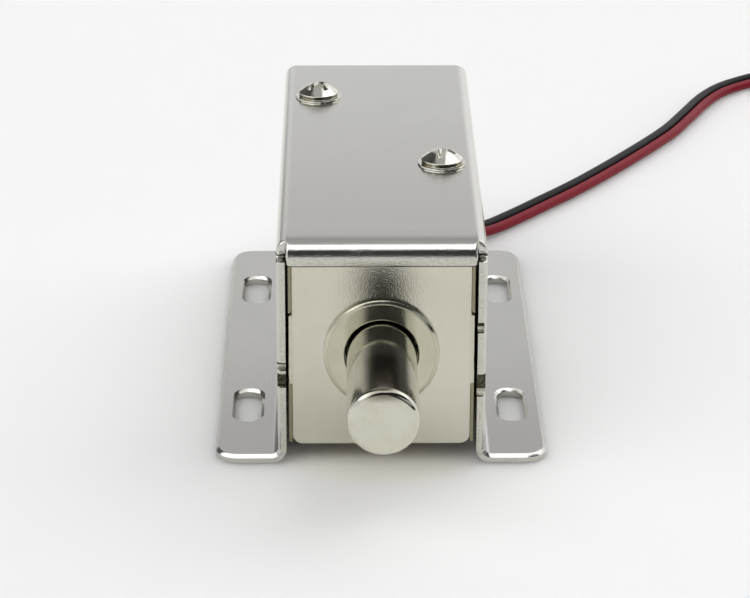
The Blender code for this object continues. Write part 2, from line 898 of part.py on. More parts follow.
def lead_tube(name, line, finish, group):
    curve = bpy.data.curves.new(name, "CURVE")
    curve.dimensions = "3D"
    curve.bevel_depth = lead_radius
    curve.bevel_resolution = wire_steps
    curve.use_fill_caps = True
    path = curve.splines.new("POLY")
    path.points.add(len(line) - 1)
    for point, place in zip(path.points, line):
        point.co = (*place, 1.0)
    keep(name, curve, finish, group)


def make_leads(group):
    """Black and red lead: from their splices beside the coil to the coil of spare length."""
    inside = [
        Vector((lead_side, at_depth(depth), lead_height))
        for depth in (lead_start_depth, (lead_start_depth + rear_plate_back) / 2, rear_plate_back)
    ]
    drop = lead_height - lead_radius
    outside = [
        Vector((x * MM, at_depth(depth * MM), lead_radius + drop * share))
        for x, depth, share in lead_route
    ]
    line = smooth_route(inside + outside, lead_points_per_span)
    last_inside = 2 * lead_points_per_span
    gaps = []
    for index in range(len(line)):
        blend = min(max((index - last_inside) / (lead_blend_spans * lead_points_per_span), 0.0), 1.0)
        gaps.append((lead_pitch_inside + (lead_pitch_outside - lead_pitch_inside) * blend) / 2)
    tail = smooth_route(
        [Vector((x * MM, at_depth(depth * MM), z * MM)) for x, depth, z in tail_route],
        tail_points_per_span,
    )
    tail[-1].y = at_depth(housing_entry_depth - lead_in_cavity)
    tail_gaps = []
    for index in range(len(tail)):
        spread = min(index / (len(tail) - tail_points_per_span), 1.0)
        tail_gaps.append((lead_pitch_outside + (contact_pitch - lead_pitch_outside) * spread) / 2)
    for colour, side, finish in (("black", 1, black_lead), ("red", -1, red_lead)):
        lead_tube(f"lead_{colour}", beside(line, [side * gap for gap in gaps]), finish, group)
        lead_tube(f"lead_tail_{colour}", beside(tail, [side * gap for gap in tail_gaps]), finish, group)
        make_splice(f"splice_{colour}", lead_side - side * lead_pitch_inside / 2, group)


def make_splice(name, side, group):
    """Shrink sleeve over the joint between the winding's end and the lead."""
    outer = splice_diameter / 2
    bore = outer - splice_wall
    mouth = lead_start_depth - splice_plug + splice_length
    bottom = lead_start_depth - seat_gap
    start = lead_start_depth - splice_plug
    profile = (
        (0.0, start),
        (outer - splice_nose, start),
        (outer, start + splice_nose),
        (outer, mouth),
        (bore, mouth),
        (bore, bottom),
        (0.0, bottom),
    )
    splice = spin(keep(name, turned_mesh(name, profile), shrink_sleeve, group), splice_steps)
    splice.location = (side, front_y, lead_height)
    splice.rotation_euler = (math.pi / 2, 0.0, 0.0)


def make_spare_coil(group):
    """Outer shape of the coil of spare lead, and the tie round it."""
    low = -coil_lift - coil_height
    profile = rounded_path(
        ((coil_outer, low), (coil_outer, -coil_lift), (coil_inner, -coil_lift), (coil_inner, low)),
        (coil_round,) * 4, closed=True,
    )
    ring = turned_mesh("lead_coil", profile, closed=True)
    coil = spin(keep("lead_coil", ring, black_lead, group), small_turn_steps)
    coil.location = (coil_centre[0], at_depth(coil_centre[1]), 0.0)
    middle = (coil_outer + coil_inner) / 2
    inside_half = (coil_outer - coil_inner) / 2 + seat_gap
    outside_half = inside_half + tie_strap
    foot = coil_lift - seat_gap - tie_strap
    top = coil_lift + coil_height + seat_gap + tie_strap
    data = box_mesh(
        "lead_tie",
        (middle - outside_half, -tie_width / 2, foot),
        (middle + outside_half, tie_width / 2, top),
        round_axis=1, radius=coil_round,
    )
    tie = keep("lead_tie", data, tie_nylon, group)
    head = cutter("tie_head", box_mesh(
        "tie_head",
        (middle + outside_half - tie_strap / 2, -tie_head / 2, coil_lift),
        (middle + outside_half + tie_head / 2, tie_head / 2, coil_lift + tie_head),
        round_axis=0, radius=small_corner,
    ))
    hollow = cutter("tie_hollow", box_mesh(
        "tie_hollow",
        (middle - inside_half, -tie_width, foot + tie_strap),
        (middle + inside_half, tie_width, top - tie_strap),
        round_axis=1, radius=coil_round - tie_strap / 2,
    ))
    boolean(tie, head, "UNION")
    boolean(tie, hollow)
    for item in (tie, head, hollow):
        item.location = coil.location
        item.rotation_euler = (0.0, 0.0, tie_turn)


def make_connector(group):
    """Two-way crimp housing lying at the end of the leads, with its contacts inside."""
    entry = at_depth(housing_entry_depth)
    mouth = entry - housing_length
    half = housing_width / 2
    data = box_mesh(
        "connector_housing",
        (connector_side - half, mouth, 0.0), (connector_side + half, entry, housing_height),
        round_axis=1, radius=housing_corner,
    )
    housing = keep("connector_housing", data, white_nylon, group)
    for side, label in ((-1, "red"), (1, "black")):
        centre = connector_side + side * contact_pitch / 2
        cut_cavity(housing, label, centre, mouth, entry)
        make_contact(label, centre, mouth + contact_recess, entry, group)
        rib_side = connector_side + side * half
        rib = cutter(f"housing_rib_{label}", box_mesh(
            f"housing_rib_{label}",
            (rib_side - housing_rib, mouth, rib_height),
            (rib_side + housing_rib, mouth + rib_length, rib_height + 2 * housing_rib),
        ))
        boolean(housing, rib, "UNION")


def cut_cavity(housing, label, centre, mouth, entry):
    half = cavity_size / 2
    cavity = box_mesh(
        f"cavity_{label}",
        (centre - half, mouth - cut_over, connector_lead_height - half),
        (centre + half, entry + cut_over, connector_lead_height + half),
    )
    boolean(housing, cutter(f"cavity_{label}", cavity))
    window = box_mesh(
        f"window_{label}",
        (centre - window_width / 2, mouth + window_from_mouth, connector_lead_height),
        (centre + window_width / 2, mouth + window_from_mouth + window_length, housing_height + cut_over),
    )
    boolean(housing, cutter(f"window_{label}", window))


def make_contact(label, centre, front, entry, group):
    """Box contact with the crimp barrel that meets the lead's end."""
    half = contact_size / 2
    bore = half - contact_wall
    name = f"contact_{label}"
    data = box_mesh(
        name,
        (centre - half, front, connector_lead_height - half),
        (centre + half, front + contact_length, connector_lead_height + half),
        round_axis=1, radius=small_corner,
    )
    contact = keep(name, data, tin, group)
    socket = box_mesh(
        f"socket_{label}",
        (centre - bore, front - cut_over, connector_lead_height - bore),
        (centre + bore, front + contact_length - contact_wall, connector_lead_height + bore),
    )
    boolean(contact, cutter(f"socket_{label}", socket))
    barrel_end = entry - lead_in_cavity - loose_gap
    barrel = round_cutter(
        f"barrel_{label}", barrel_diameter / 2, front + contact_length - contact_wall / 2, barrel_end,
        1, (centre, 0.0, connector_lead_height),
    )
    boolean(contact, barrel, "UNION")


clear_scene()
lock = collection("cabinet_lock")
cutters = collection("cutters")

nickel_sheet = material("nickel_plated_sheet", (0.55, 0.54, 0.52), 1.0, 0.32)
plated_frame = material("plated_frame", (0.56, 0.54, 0.47), 1.0, 0.4)
turned_nickel = material("turned_nickel", (0.62, 0.60, 0.53), 1.0, 0.25)
spring_steel = material("spring_steel", (0.4, 0.4, 0.42), 1.0, 0.3)
brass = material("brass", (0.72, 0.52, 0.2), 1.0, 0.3)
copper = material("enamelled_copper", (0.6, 0.22, 0.08), 0.9, 0.35)
nylon = material("bobbin_nylon", (0.75, 0.74, 0.7), 0.0, 0.5)
tape = material("coil_tape", (0.75, 0.55, 0.1), 0.0, 0.4)
rubber = material("damper_rubber", (0.03, 0.03, 0.03), 0.0, 0.8)
black_lead = material("black_lead", (0.02, 0.02, 0.022), 0.0, 0.35)
red_lead = material("red_lead", (0.45, 0.02, 0.03), 0.0, 0.35)
shrink_sleeve = material("shrink_sleeve", (0.03, 0.03, 0.03), 0.0, 0.6)
tie_nylon = material("tie_nylon", (0.7, 0.7, 0.68), 0.0, 0.5)
white_nylon = material("connector_nylon", (0.8, 0.79, 0.74), 0.0, 0.45)
tin = material("tinned_contact", (0.65, 0.65, 0.66), 1.0, 0.3)

make_cover(lock)
make_yoke(lock)
make_plates(lock)
make_bush(lock)
make_bolt(lock)
make_damper(lock)
make_core(lock)
make_spring(lock)
make_coil(lock)
make_screws(lock)
make_leads(lock)
make_spare_coil(lock)
make_connector(lock)
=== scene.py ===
import math

import bmesh
import bpy
from mathutils import Matrix, Vector


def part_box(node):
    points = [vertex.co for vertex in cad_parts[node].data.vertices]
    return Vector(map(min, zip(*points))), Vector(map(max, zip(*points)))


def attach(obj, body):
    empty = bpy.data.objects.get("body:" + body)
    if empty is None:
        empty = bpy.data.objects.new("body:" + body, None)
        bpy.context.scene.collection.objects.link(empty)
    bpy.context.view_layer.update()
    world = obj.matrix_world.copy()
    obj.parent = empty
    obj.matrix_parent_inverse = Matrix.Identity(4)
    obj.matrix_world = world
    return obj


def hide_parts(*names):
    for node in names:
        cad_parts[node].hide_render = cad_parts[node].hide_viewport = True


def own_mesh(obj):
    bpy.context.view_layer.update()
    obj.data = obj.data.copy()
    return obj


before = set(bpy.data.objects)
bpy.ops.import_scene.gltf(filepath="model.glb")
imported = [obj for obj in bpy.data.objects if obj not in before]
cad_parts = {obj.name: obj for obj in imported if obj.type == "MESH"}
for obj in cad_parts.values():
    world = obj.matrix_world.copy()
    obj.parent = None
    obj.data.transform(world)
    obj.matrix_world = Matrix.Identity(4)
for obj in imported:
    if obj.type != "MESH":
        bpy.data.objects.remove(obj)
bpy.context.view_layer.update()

MM = 0.001
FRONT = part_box("cover")[0].y
BOLT_AXIS = sum(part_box("bolt")[end].z for end in (0, 1)) / 2
ACROSS, ALONG, UP = 0, 1, 2

# Sizes and places in millimetres: to the side, behind the cover's front edge, above the surface

AXIS_HEIGHT = BOLT_AXIS / MM
SHEET = 1.0
COVER_LENGTH = 64.6
COVER_HEIGHT = 27.5
WALL_SIDE = 12.0
FLANGE_SIDE = 19.3
TOP_BEND = 1.5
FOOT_BEND = 0.8
FLAP_SIDE = 10.88
FLAP_FOOT = 24.42
FLAP_BEND = 2.3
BEND_END = 0.8
LEDGE = 25.1
NOTCHES = ((-13, -10, 11.7, 12.7), (-13, -10, 9.6, 11.3), (10, 11.7, 16.35, 17.65), (10, 13, 8.4, 11.2))
NOTCH_DEPTH = 1.2
SLOT_SIDE = 15.8
SLOT_DEPTHS = (14.1, 50.5)
SLOT_RADIUS = 1.55
SLOT_REACH = 4.45
SCREWS = ((-7.55, 51.4), (7.55, 26.1))
SCREW_HOLE = 1.62
YOKE_SIDE, YOKE_FOOT, YOKE_TOP = 10.2, 1.9, 25.8
YOKE_FRONT, YOKE_LENGTH, YOKE_BEND = 1.85, 59.9, 0.7
COLLAR = 2.42
PLATE = 1.6
FRONT_PLATE, REAR_PLATE = 1.2, 60.8
PLATE_EDGE = 10.32
EAR_FOOT, EAR_HEAD, EAR_SIDE = 9.52, 18.08, 10.7
BOBBIN_FRONT, BOBBIN_REAR, CHEEK = 2.92, 60.68, 1.2
WOUND_FRONT, WOUND_REAR = 4.24, 59.36
SPRING_FRONT, SPRING_REAR = 24.35, 50.91
SPRING_RADIUS, WIRE_RADIUS = 2.3, 0.25
SPRING_TURNS, SPRING_STEPS, END_PITCH = 11, 24, 0.52
PLUG_SIDE = 83.7
WAY_SIDE = 1.25


def spot(side, depth, height):
    """A place from millimetres: to the side, behind the cover's front edge, above the surface."""
    return Vector((side * MM, FRONT + depth * MM, height * MM))


# Camera

TILT = math.radians(22.614)
TURN = math.radians(0.607)
LEAN = math.radians(0.106)

ahead = Vector((math.sin(TURN) * math.cos(TILT), math.cos(TURN) * math.cos(TILT), -math.sin(TILT)))
level = ahead.cross(Vector((0, 0, 1))).normalized()
over = level.cross(ahead)
right = level * math.cos(LEAN) + over * math.sin(LEAN)
top = over * math.cos(LEAN) - level * math.sin(LEAN)
lens = bpy.data.cameras.new("camera")
lens.lens = 140.77
lens.clip_start = 0.01
lens.clip_end = 20
camera = bpy.data.objects.new("camera", lens)
bpy.context.scene.collection.objects.link(camera)
turned = Matrix((right, top, -ahead)).transposed().to_4x4()
camera.matrix_world = Matrix.Translation(spot(-4.030, -307.356, 148.660)) @ turned
bpy.context.scene.camera = camera


# Modelling by hand: one piece at a time, drawn as a line and drawn out, spun or folded

def only(piece):
    """Leaves one piece selected and active."""
    bpy.ops.object.select_all(action="DESELECT")
    piece.select_set(True)
    bpy.context.view_layer.objects.active = piece
    return piece


def start(piece, name):
    piece.name = name
    piece.data.name = name
    return piece


def flat(axis, point, along=0.0):
    """The place of a point of a drawing that lies across one axis."""
    place = list(point)
    place.insert(axis, along)
    return Vector(place)


def draw(name, axis, corners, radii, closed=True, along=0.0, steps=6):
    """Draws a line across one axis, with each corner rounded to its radius."""
    bpy.ops.object.select_all(action="DESELECT")
    bpy.ops.mesh.primitive_plane_add(size=MM)
    piece = start(bpy.context.object, name)
    normal = Vector([float(index == axis) for index in range(3)])
    runs = []
    for index, corner in enumerate(corners):
        here = flat(axis, corner, along)
        if radii[index] <= 0 or (not closed and index in (0, len(corners) - 1)):
            runs.append((here, None, 0.0))
            continue
        before = (flat(axis, corners[index - 1], along) - here).normalized()
        after = (flat(axis, corners[(index + 1) % len(corners)], along) - here).normalized()
        half = before.angle(after) / 2
        tangent = here + before * radii[index] / math.tan(half)
        centre = here + (before + after).normalized() * radii[index] / math.sin(half)
        sweep = math.pi - 2 * half
        side = (tangent - centre).cross(here - centre).dot(normal)
        runs.append((tangent, centre, math.copysign(sweep, side)))
    bpy.ops.object.mode_set(mode="EDIT")
    bpy.ops.mesh.select_mode(type="VERT")
    bpy.ops.mesh.select_all(action="SELECT")
    bpy.ops.mesh.merge(type="CENTER")
    pen = runs[0][0]
    bpy.ops.transform.translate(value=pen)
    for index, (place, centre, sweep) in enumerate(runs):
        if (place - pen).length > 1e-7:
            bpy.ops.mesh.extrude_region_move(TRANSFORM_OT_translate={"value": place - pen})
        pen = place
        if centre is not None:
            bpy.ops.mesh.spin(steps=steps, angle=-sweep, center=centre, axis=normal)
            pen = centre + Matrix.Rotation(sweep, 3, normal) @ (place - centre)
    if closed:
        if (runs[0][0] - pen).length > 1e-7:
            bpy.ops.mesh.extrude_region_move(TRANSFORM_OT_translate={"value": runs[0][0] - pen})
        bpy.ops.mesh.select_all(action="SELECT")
        bpy.ops.mesh.remove_doubles(threshold=2e-6)
    bpy.ops.object.mode_set(mode="OBJECT")
    return piece


def draw_out(piece, axis, far):
    """Fills a closed line and draws it out along an axis to a solid."""
    only(piece)
    bpy.ops.object.mode_set(mode="EDIT")
    bpy.ops.mesh.select_all(action="SELECT")
    bpy.ops.mesh.edge_face_add()
    push = Vector([far if index == axis else 0.0 for index in range(3)])
    bpy.ops.mesh.extrude_region_move(TRANSFORM_OT_translate={"value": push})
    bpy.ops.mesh.select_all(action="SELECT")
    bpy.ops.mesh.normals_make_consistent(inside=False)
    bpy.ops.object.mode_set(mode="OBJECT")
    return piece


def fold(piece, axis, far, thickness):
    """Draws an open line out along an axis and gives the sheet its thickness about it."""
    only(piece)
    bpy.ops.object.mode_set(mode="EDIT")
    bpy.ops.mesh.select_all(action="SELECT")
    push = Vector([far if index == axis else 0.0 for index in range(3)])
    bpy.ops.mesh.extrude_region_move(TRANSFORM_OT_translate={"value": push})
    bpy.ops.mesh.select_all(action="SELECT")
    bpy.ops.mesh.normals_make_consistent(inside=False)
    bpy.ops.object.mode_set(mode="OBJECT")
    wall = piece.modifiers.new("wall", "SOLIDIFY")
    wall.thickness = thickness
    wall.offset = 0.0
    wall.use_even_offset = True
    bpy.ops.object.modifier_apply(modifier=wall.name)
    bpy.ops.object.mode_set(mode="EDIT")
    bpy.ops.mesh.select_all(action="SELECT")
    bpy.ops.mesh.normals_make_consistent(inside=False)
    bpy.ops.object.mode_set(mode="OBJECT")
    return piece


def turn(name, corners, closed=True, centre=(0.0, BOLT_AXIS), steps=96):
    """Spins a profile about a line along the lock: radius, depth and rounding of each corner."""
    profile = [(centre[0] + radius * MM, FRONT + depth * MM) for radius, depth, _round in corners]
    roundings = [rounding * MM for _radius, _depth, rounding in corners]
    piece = draw(name, UP, profile, roundings, closed, centre[1], 4)
    return settle(round_shading(spin_round(piece, (centre[0], 0.0, centre[1]), (0, 1, 0), steps)))


def ring(name, inner, outer, front, back, rounding=0.08, centre=(0.0, BOLT_AXIS), steps=96):
    corners = ((outer, front), (outer, back), (inner, back), (inner, front))
    return turn(name, [(*corner, rounding) for corner in corners], True, centre, steps)


def spin_round(piece, centre, axis, steps):
    only(piece)
    bpy.ops.object.mode_set(mode="EDIT")
    bpy.ops.mesh.select_all(action="SELECT")
    bpy.ops.mesh.spin(steps=steps, angle=math.tau, center=centre, axis=axis)
    bpy.ops.mesh.select_all(action="SELECT")
    bpy.ops.mesh.remove_doubles(threshold=2e-6)
    bpy.ops.mesh.normals_make_consistent(inside=False)
    bpy.ops.object.mode_set(mode="OBJECT")
    return piece


def block(name, low, high, rounding=0.0, axis=None, steps=4):
    """A block between two places in millimetres, with the edges along one axis rounded."""
    bpy.ops.object.select_all(action="DESELECT")
    low, high = spot(*low), spot(*high)
    bpy.ops.mesh.primitive_cube_add(size=1.0, location=(low + high) / 2)
    piece = start(bpy.context.object, name)
    piece.scale = high - low
    bpy.ops.object.transform_apply(location=True, rotation=True, scale=True)
    if rounding > 0:
        bpy.ops.object.mode_set(mode="EDIT")
        bpy.ops.mesh.select_mode(type="EDGE")
        mesh = bmesh.from_edit_mesh(piece.data)
        for edge in mesh.edges:
            run = edge.verts[0].co - edge.verts[1].co
            edge.select = axis is None or abs(run[axis]) > 0.99 * run.length
        bmesh.update_edit_mesh(piece.data)
        bpy.ops.mesh.bevel(offset=rounding * MM, segments=steps, affect="EDGES")
        bpy.ops.object.mode_set(mode="OBJECT")
    return piece


def round_edges(piece, width, segments, chosen):
    """Rounds the sharp edges that are chosen by the places of their two ends, in millimetres."""
    only(piece)
    bpy.ops.object.mode_set(mode="EDIT")
    bpy.ops.mesh.select_mode(type="EDGE")
    bpy.ops.mesh.select_all(action="DESELECT")
    mesh = bmesh.from_edit_mesh(piece.data)
    for edge in mesh.edges:
        ends = [(vert.co - Vector((0, FRONT, 0))) / MM for vert in edge.verts]
        edge.select = edge.calc_face_angle(0.0) > 0.5 and chosen(*ends)
    bmesh.update_edit_mesh(piece.data)
    bpy.ops.mesh.bevel(offset=width * MM, segments=segments, affect="EDGES")
    bpy.ops.object.mode_set(mode="OBJECT")
    return piece


def rod(name, radius, low, high, axis, centre, steps=64):
    """A round bar along one axis, all in millimetres."""
    place = list(centre)
    place[axis] = (low + high) / 2
    place = spot(*place)
    lie = ((0, math.pi / 2, 0), (math.pi / 2, 0, 0), (0, 0, 0))[axis]
    bpy.ops.object.select_all(action="DESELECT")
    bpy.ops.mesh.primitive_cylinder_add(
        vertices=steps, radius=radius * MM, depth=(high - low) * MM, location=place, rotation=lie
    )
    piece = start(bpy.context.object, name)
    bpy.ops.object.transform_apply(location=True, rotation=True, scale=True)
    return piece


def swing(piece, angle, centre):
    """Turns a piece about an upright line."""
    only(piece)
    bpy.ops.transform.rotate(value=-math.radians(angle), orient_axis="Z", center_override=spot(*centre))
    bpy.ops.object.transform_apply(location=True, rotation=True, scale=True)
    return piece


def cut(piece, tool, how="DIFFERENCE"):
    """Cuts a piece with a tool, or joins them, and puts the tool away."""
    only(piece)
    step = piece.modifiers.new("cut", "BOOLEAN")
    step.object = tool
    step.operation = how
    step.solver = "EXACT"
    bpy.ops.object.modifier_apply(modifier=step.name)
    bpy.data.objects.remove(tool, do_unlink=True)
    return piece


def ease(piece, width, segments=2, angle=40):
    """Breaks the sharp edges, and shades the flat faces flat and the bends round."""
    only(piece)
    width *= MM
    bpy.ops.object.mode_set(mode="EDIT")
    bpy.ops.mesh.select_all(action="SELECT")
    bpy.ops.mesh.remove_doubles(threshold=2e-6)
    bpy.ops.mesh.dissolve_limited(angle_limit=math.radians(0.3))
    bpy.ops.mesh.normals_make_consistent(inside=False)
    bpy.ops.object.mode_set(mode="OBJECT")
    bpy.ops.object.shade_smooth()
    edge = piece.modifiers.new("edges", "BEVEL")
    edge.width = width
    edge.segments = segments
    edge.limit_method = "ANGLE"
    edge.angle_limit = math.radians(angle)
    edge.use_clamp_overlap = True
    edge.miter_outer = "MITER_ARC"
    bpy.ops.object.modifier_apply(modifier=edge.name)
    return settle(piece)


def settle(piece):
    """Shades flat faces flat up to their rounded edges."""
    only(piece)
    weight = piece.modifiers.new("shading", "WEIGHTED_NORMAL")
    weight.keep_sharp = True
    bpy.ops.object.modifier_apply(modifier=weight.name)
    return piece


def round_shading(piece, angle=35):
    only(piece)
    bpy.ops.object.shade_smooth_by_angle(angle=math.radians(angle))
    return piece


def hand_over(piece, finish, slot, body, *nodes):
    """Gives a finished piece its material and its place in the lock."""
    piece.data.materials.clear()
    piece.data.materials.append(finish)
    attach(piece, body)
    if nodes:
        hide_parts(*nodes)
    return piece


# Shader maths

class Signal:
    """An output socket that numbers can be added to, taken from and so on."""

    def __init__(self, bench, socket):
        self.bench = bench
        self.socket = socket

    def maths(self, operation, first, second=None, clamp=False):
        values = [first] if second is None else [first, second]
        return self.bench.node("ShaderNodeMath", {"operation": operation, "use_clamp": clamp}, values)

    def __add__(self, other):
        return self.maths("ADD", self, other)

    def __sub__(self, other):
        return self.maths("SUBTRACT", self, other)

    def __mul__(self, other):
        return self.maths("MULTIPLY", self, other)

    def __truediv__(self, other):
        return self.maths("DIVIDE", self, other)

    def __pow__(self, other):
        return self.maths("POWER", self, other)

    def __rsub__(self, other):
        return self.maths("SUBTRACT", other, self)

    __radd__ = __add__
    __rmul__ = __mul__

    def clamped(self):
        return self.maths("ADD", self, 0.0, clamp=True)

    def band(self, low, high):
        """0 below low, 1 above high, and smooth in between."""
        settings = {"interpolation_type": "SMOOTHSTEP"}
        values = {"Value": self, "From Min": low, "From Max": high}
        return self.bench.node("ShaderNodeMapRange", settings, values)


class Bench:
    """Nodes of one material, or of the light all round, in the making."""

    def __init__(self, owner, shader, output):
        owner.use_nodes = True
        self.material = owner
        self.tree = owner.node_tree
        self.shader = self.tree.nodes[shader]
        self.place = self.node("ShaderNodeTexCoord", output=output)

    def feed(self, name, value):
        """Sets a socket of the shader, or links it."""
        socket = self.shader.inputs[name]
        if isinstance(value, Signal):
            self.tree.links.new(value.socket, socket)
        else:
            socket.default_value = value

    def node(self, kind, settings=None, values=(), output=0):
        """Adds a node: its settings first, then the values or links of its sockets."""
        made = self.tree.nodes.new(kind)
        for name, value in (settings or {}).items():
            setattr(made, name, value)
        pairs = values.items() if isinstance(values, dict) else enumerate(values)
        for name, value in pairs:
            socket = made.inputs[name]
            if isinstance(value, Signal):
                self.tree.links.new(value.socket, socket)
            else:
                socket.default_value = value
        return Signal(self, made.outputs[output])

    def stretch(self, scale, rotation=(0, 0, 0), location=(0, 0, 0)):
        values = {"Vector": self.place, "Scale": scale, "Rotation": rotation, "Location": location}
        return self.node("ShaderNodeMapping", None, values)

    def noise(self, size, detail=2.0, roughness=0.5, place=None):
        """Cloudy variation whose patches are about this many millimetres across."""
        values = {"Scale": 1 / (size * MM), "Detail": detail, "Roughness": roughness}
        return self.node("ShaderNodeTexNoise", None, {"Vector": place or self.place, **values})

    def cells(self, size):
        """Distance to the nearest of points that lie about this many millimetres apart."""
        values = {"Vector": self.place, "Scale": 1 / (size * MM)}
        return self.node("ShaderNodeTexVoronoi", None, values, "Distance")

    def blend(self, factor, first, second):
        """A colour between two."""
        mix = self.tree.nodes.new("ShaderNodeMix")
        mix.data_type = "RGBA"
        for index, value in ((0, factor), (6, first), (7, second)):
            if isinstance(value, Signal):
                self.tree.links.new(value.socket, mix.inputs[index])
            else:
                mix.inputs[index].default_value = value if index == 0 else (*value[:3], 1.0)
        return Signal(self, mix.outputs[2])

    def coordinates(self):
        """Across, along and up, each as a number in metres."""
        split = self.tree.nodes.new("ShaderNodeSeparateXYZ")
        self.tree.links.new(self.place.socket, split.inputs[0])
        return [Signal(self, split.outputs[index]) for index in range(3)]

    def inside(self, signal, low, high):
        """1 between two places and 0 outside, with narrow edges."""
        return signal.band(low - 0.03 * MM, low) * (1 - signal.band(high, high + 0.03 * MM))

    def bump(self, height, depth, strength=1.0):
        """Raises the surface by the height signal, which stands for this many millimetres."""
        values = {"Height": height, "Distance": depth * MM, "Strength": strength}
        self.feed("Normal", self.node("ShaderNodeBump", None, values))

    def scratches(self, size, thin, angle, seed):
        """Thin straight marks, mostly one way, with long gaps between them."""
        way = self.stretch((1.0, 0.035, 1.0), (0, 0, math.radians(angle)), (seed, seed * 0.7, 0))
        line = self.noise(size, 1.0, 0.4, way)
        shifted = self.stretch((1, 1, 1), (0, 0, 0), (seed * 2, seed, seed))
        where = self.noise(size * 9, 1.0, 0.5, shifted)
        ridge = 1 - ((line - 0.5) ** 2) ** 0.5 / thin
        return ridge.clamped() * where.band(0.52, 0.66)


def finish(name, colour, metallic, roughness):
    """A new material with its plain values, which patterns then vary."""
    bench = Bench(bpy.data.materials.new(name), "Principled BSDF", "Object")
    bench.feed("Base Color", (*colour, 1.0))
    bench.feed("Metallic", metallic)
    bench.feed("Roughness", roughness)
    return bench


def nickel_sheet():
    """Cold-rolled sheet, nickel plated to a satin finish, handled, with torn metal in its notches, and painted
    shade on the flanges' front, the top's front, the notch sills and the flap's lower edge.
    """
    bench = finish("nickel_sheet", (0.58, 0.57, 0.54), 1.0, 0.12)
    across, along, up = bench.coordinates()
    side = (across * across) ** 0.5
    cloud = bench.noise(9.0, 3.0, 0.55)
    grain = bench.noise(0.17, 2.0, 0.6)
    stain = bench.noise(2.4, 4.0, 0.7)
    pits = 1 - bench.cells(1.6).band(0.03, 0.075)
    shifted = bench.stretch((1, 1, 1), (0, 0, 0), (0.3, 0.1, 0.2))
    speck = pits * bench.noise(6.0, 1.0, 0.5, shifted).band(0.5, 0.62)
    marks = (bench.scratches(0.5, 0.022, 12, 0.11) + bench.scratches(0.7, 0.016, -34, 0.47)).clamped()
    flange = 1 - up.band(1.1 * MM, 1.6 * MM)
    front = 1 - along.band(FRONT + 2 * MM, FRONT + 34 * MM)
    tone = cloud.band(0.3, 0.7) * 0.5 + stain.band(0.35, 0.75) * 0.3
    colour = bench.blend(tone, (0.575, 0.57, 0.545), (0.61, 0.6, 0.57))
    # painted shade: the flange tops darker towards the front, standing in for what they reflect
    colour = bench.blend(flange * up.band(0.9 * MM, 0.98 * MM) * front, colour, (0.5, 0.48, 0.475))
    # painted shade: the top darker towards its front edge, standing in for the change in what it reflects
    top_front_shade = up.band(27.2 * MM, 27.45 * MM) * (1 - along.band(FRONT + 3 * MM, FRONT + 50 * MM))
    colour = bench.blend(top_front_shade * 0.8, colour, (0.53, 0.515, 0.49))
    colour = bench.blend(speck * 0.35, colour, (0.34, 0.33, 0.3))
    torn = bench.inside(up, 16.3 * MM, 17.7 * MM) + bench.inside(up, 8.35 * MM, 11.35 * MM)
    torn = torn + bench.inside(up, 11.65 * MM, 12.75 * MM)
    torn = bench.inside(along, FRONT + 0.42 * MM, FRONT + 1.3 * MM) * torn
    shreds = bench.noise(0.22, 3.0, 0.7)
    # painted shade: the lower sill of each notch dark, mixed into the torn metal's own shreds
    sill_shade = bench.inside(up, 16.3 * MM, 16.7 * MM) + bench.inside(up, 8.35 * MM, 8.9 * MM)
    sill_shade = sill_shade + bench.inside(up, 11.65 * MM, 12.0 * MM)
    torn_and_sill_shade = (sill_shade + shreds.band(0.5, 0.7) * 0.35).clamped()
    colour = bench.blend(torn, colour, bench.blend(torn_and_sill_shade, (0.06, 0.055, 0.035), (0.66, 0.64, 0.56)))
    sheared = (1 - along.band(FRONT + 0.02 * MM, FRONT + 0.12 * MM)) * up.band(1.2 * MM, 2 * MM)
    colour = bench.blend(sheared * shreds.band(0.4, 0.65) * 0.6, colour, (0.4, 0.375, 0.28))
    # painted shade: a dark band along the flap's lower edge
    flap_edge_shade = bench.inside(up, 24.3 * MM, 24.64 * MM) * (1 - along.band(FRONT + 1.1 * MM, FRONT + 1.2 * MM))
    flap_edge_shade = flap_edge_shade * (1 - side.band(10.7 * MM, 10.86 * MM))
    colour = bench.blend(flap_edge_shade * (0.9 - shreds * 0.3), colour, (0.1, 0.09, 0.06))
    bench.feed("Base Color", colour)
    bench.feed("Roughness", 0.1 + cloud * 0.05 + stain * 0.04 + marks * 0.05 + speck * 0.12 + torn * 0.3)
    relief = grain * 1.4 + stain * 0.4 - marks * 0.5 - speck
    bench.bump(relief + torn * shreds * 12 + sheared * shreds * 3, 0.01, 0.8)
    return bench.material


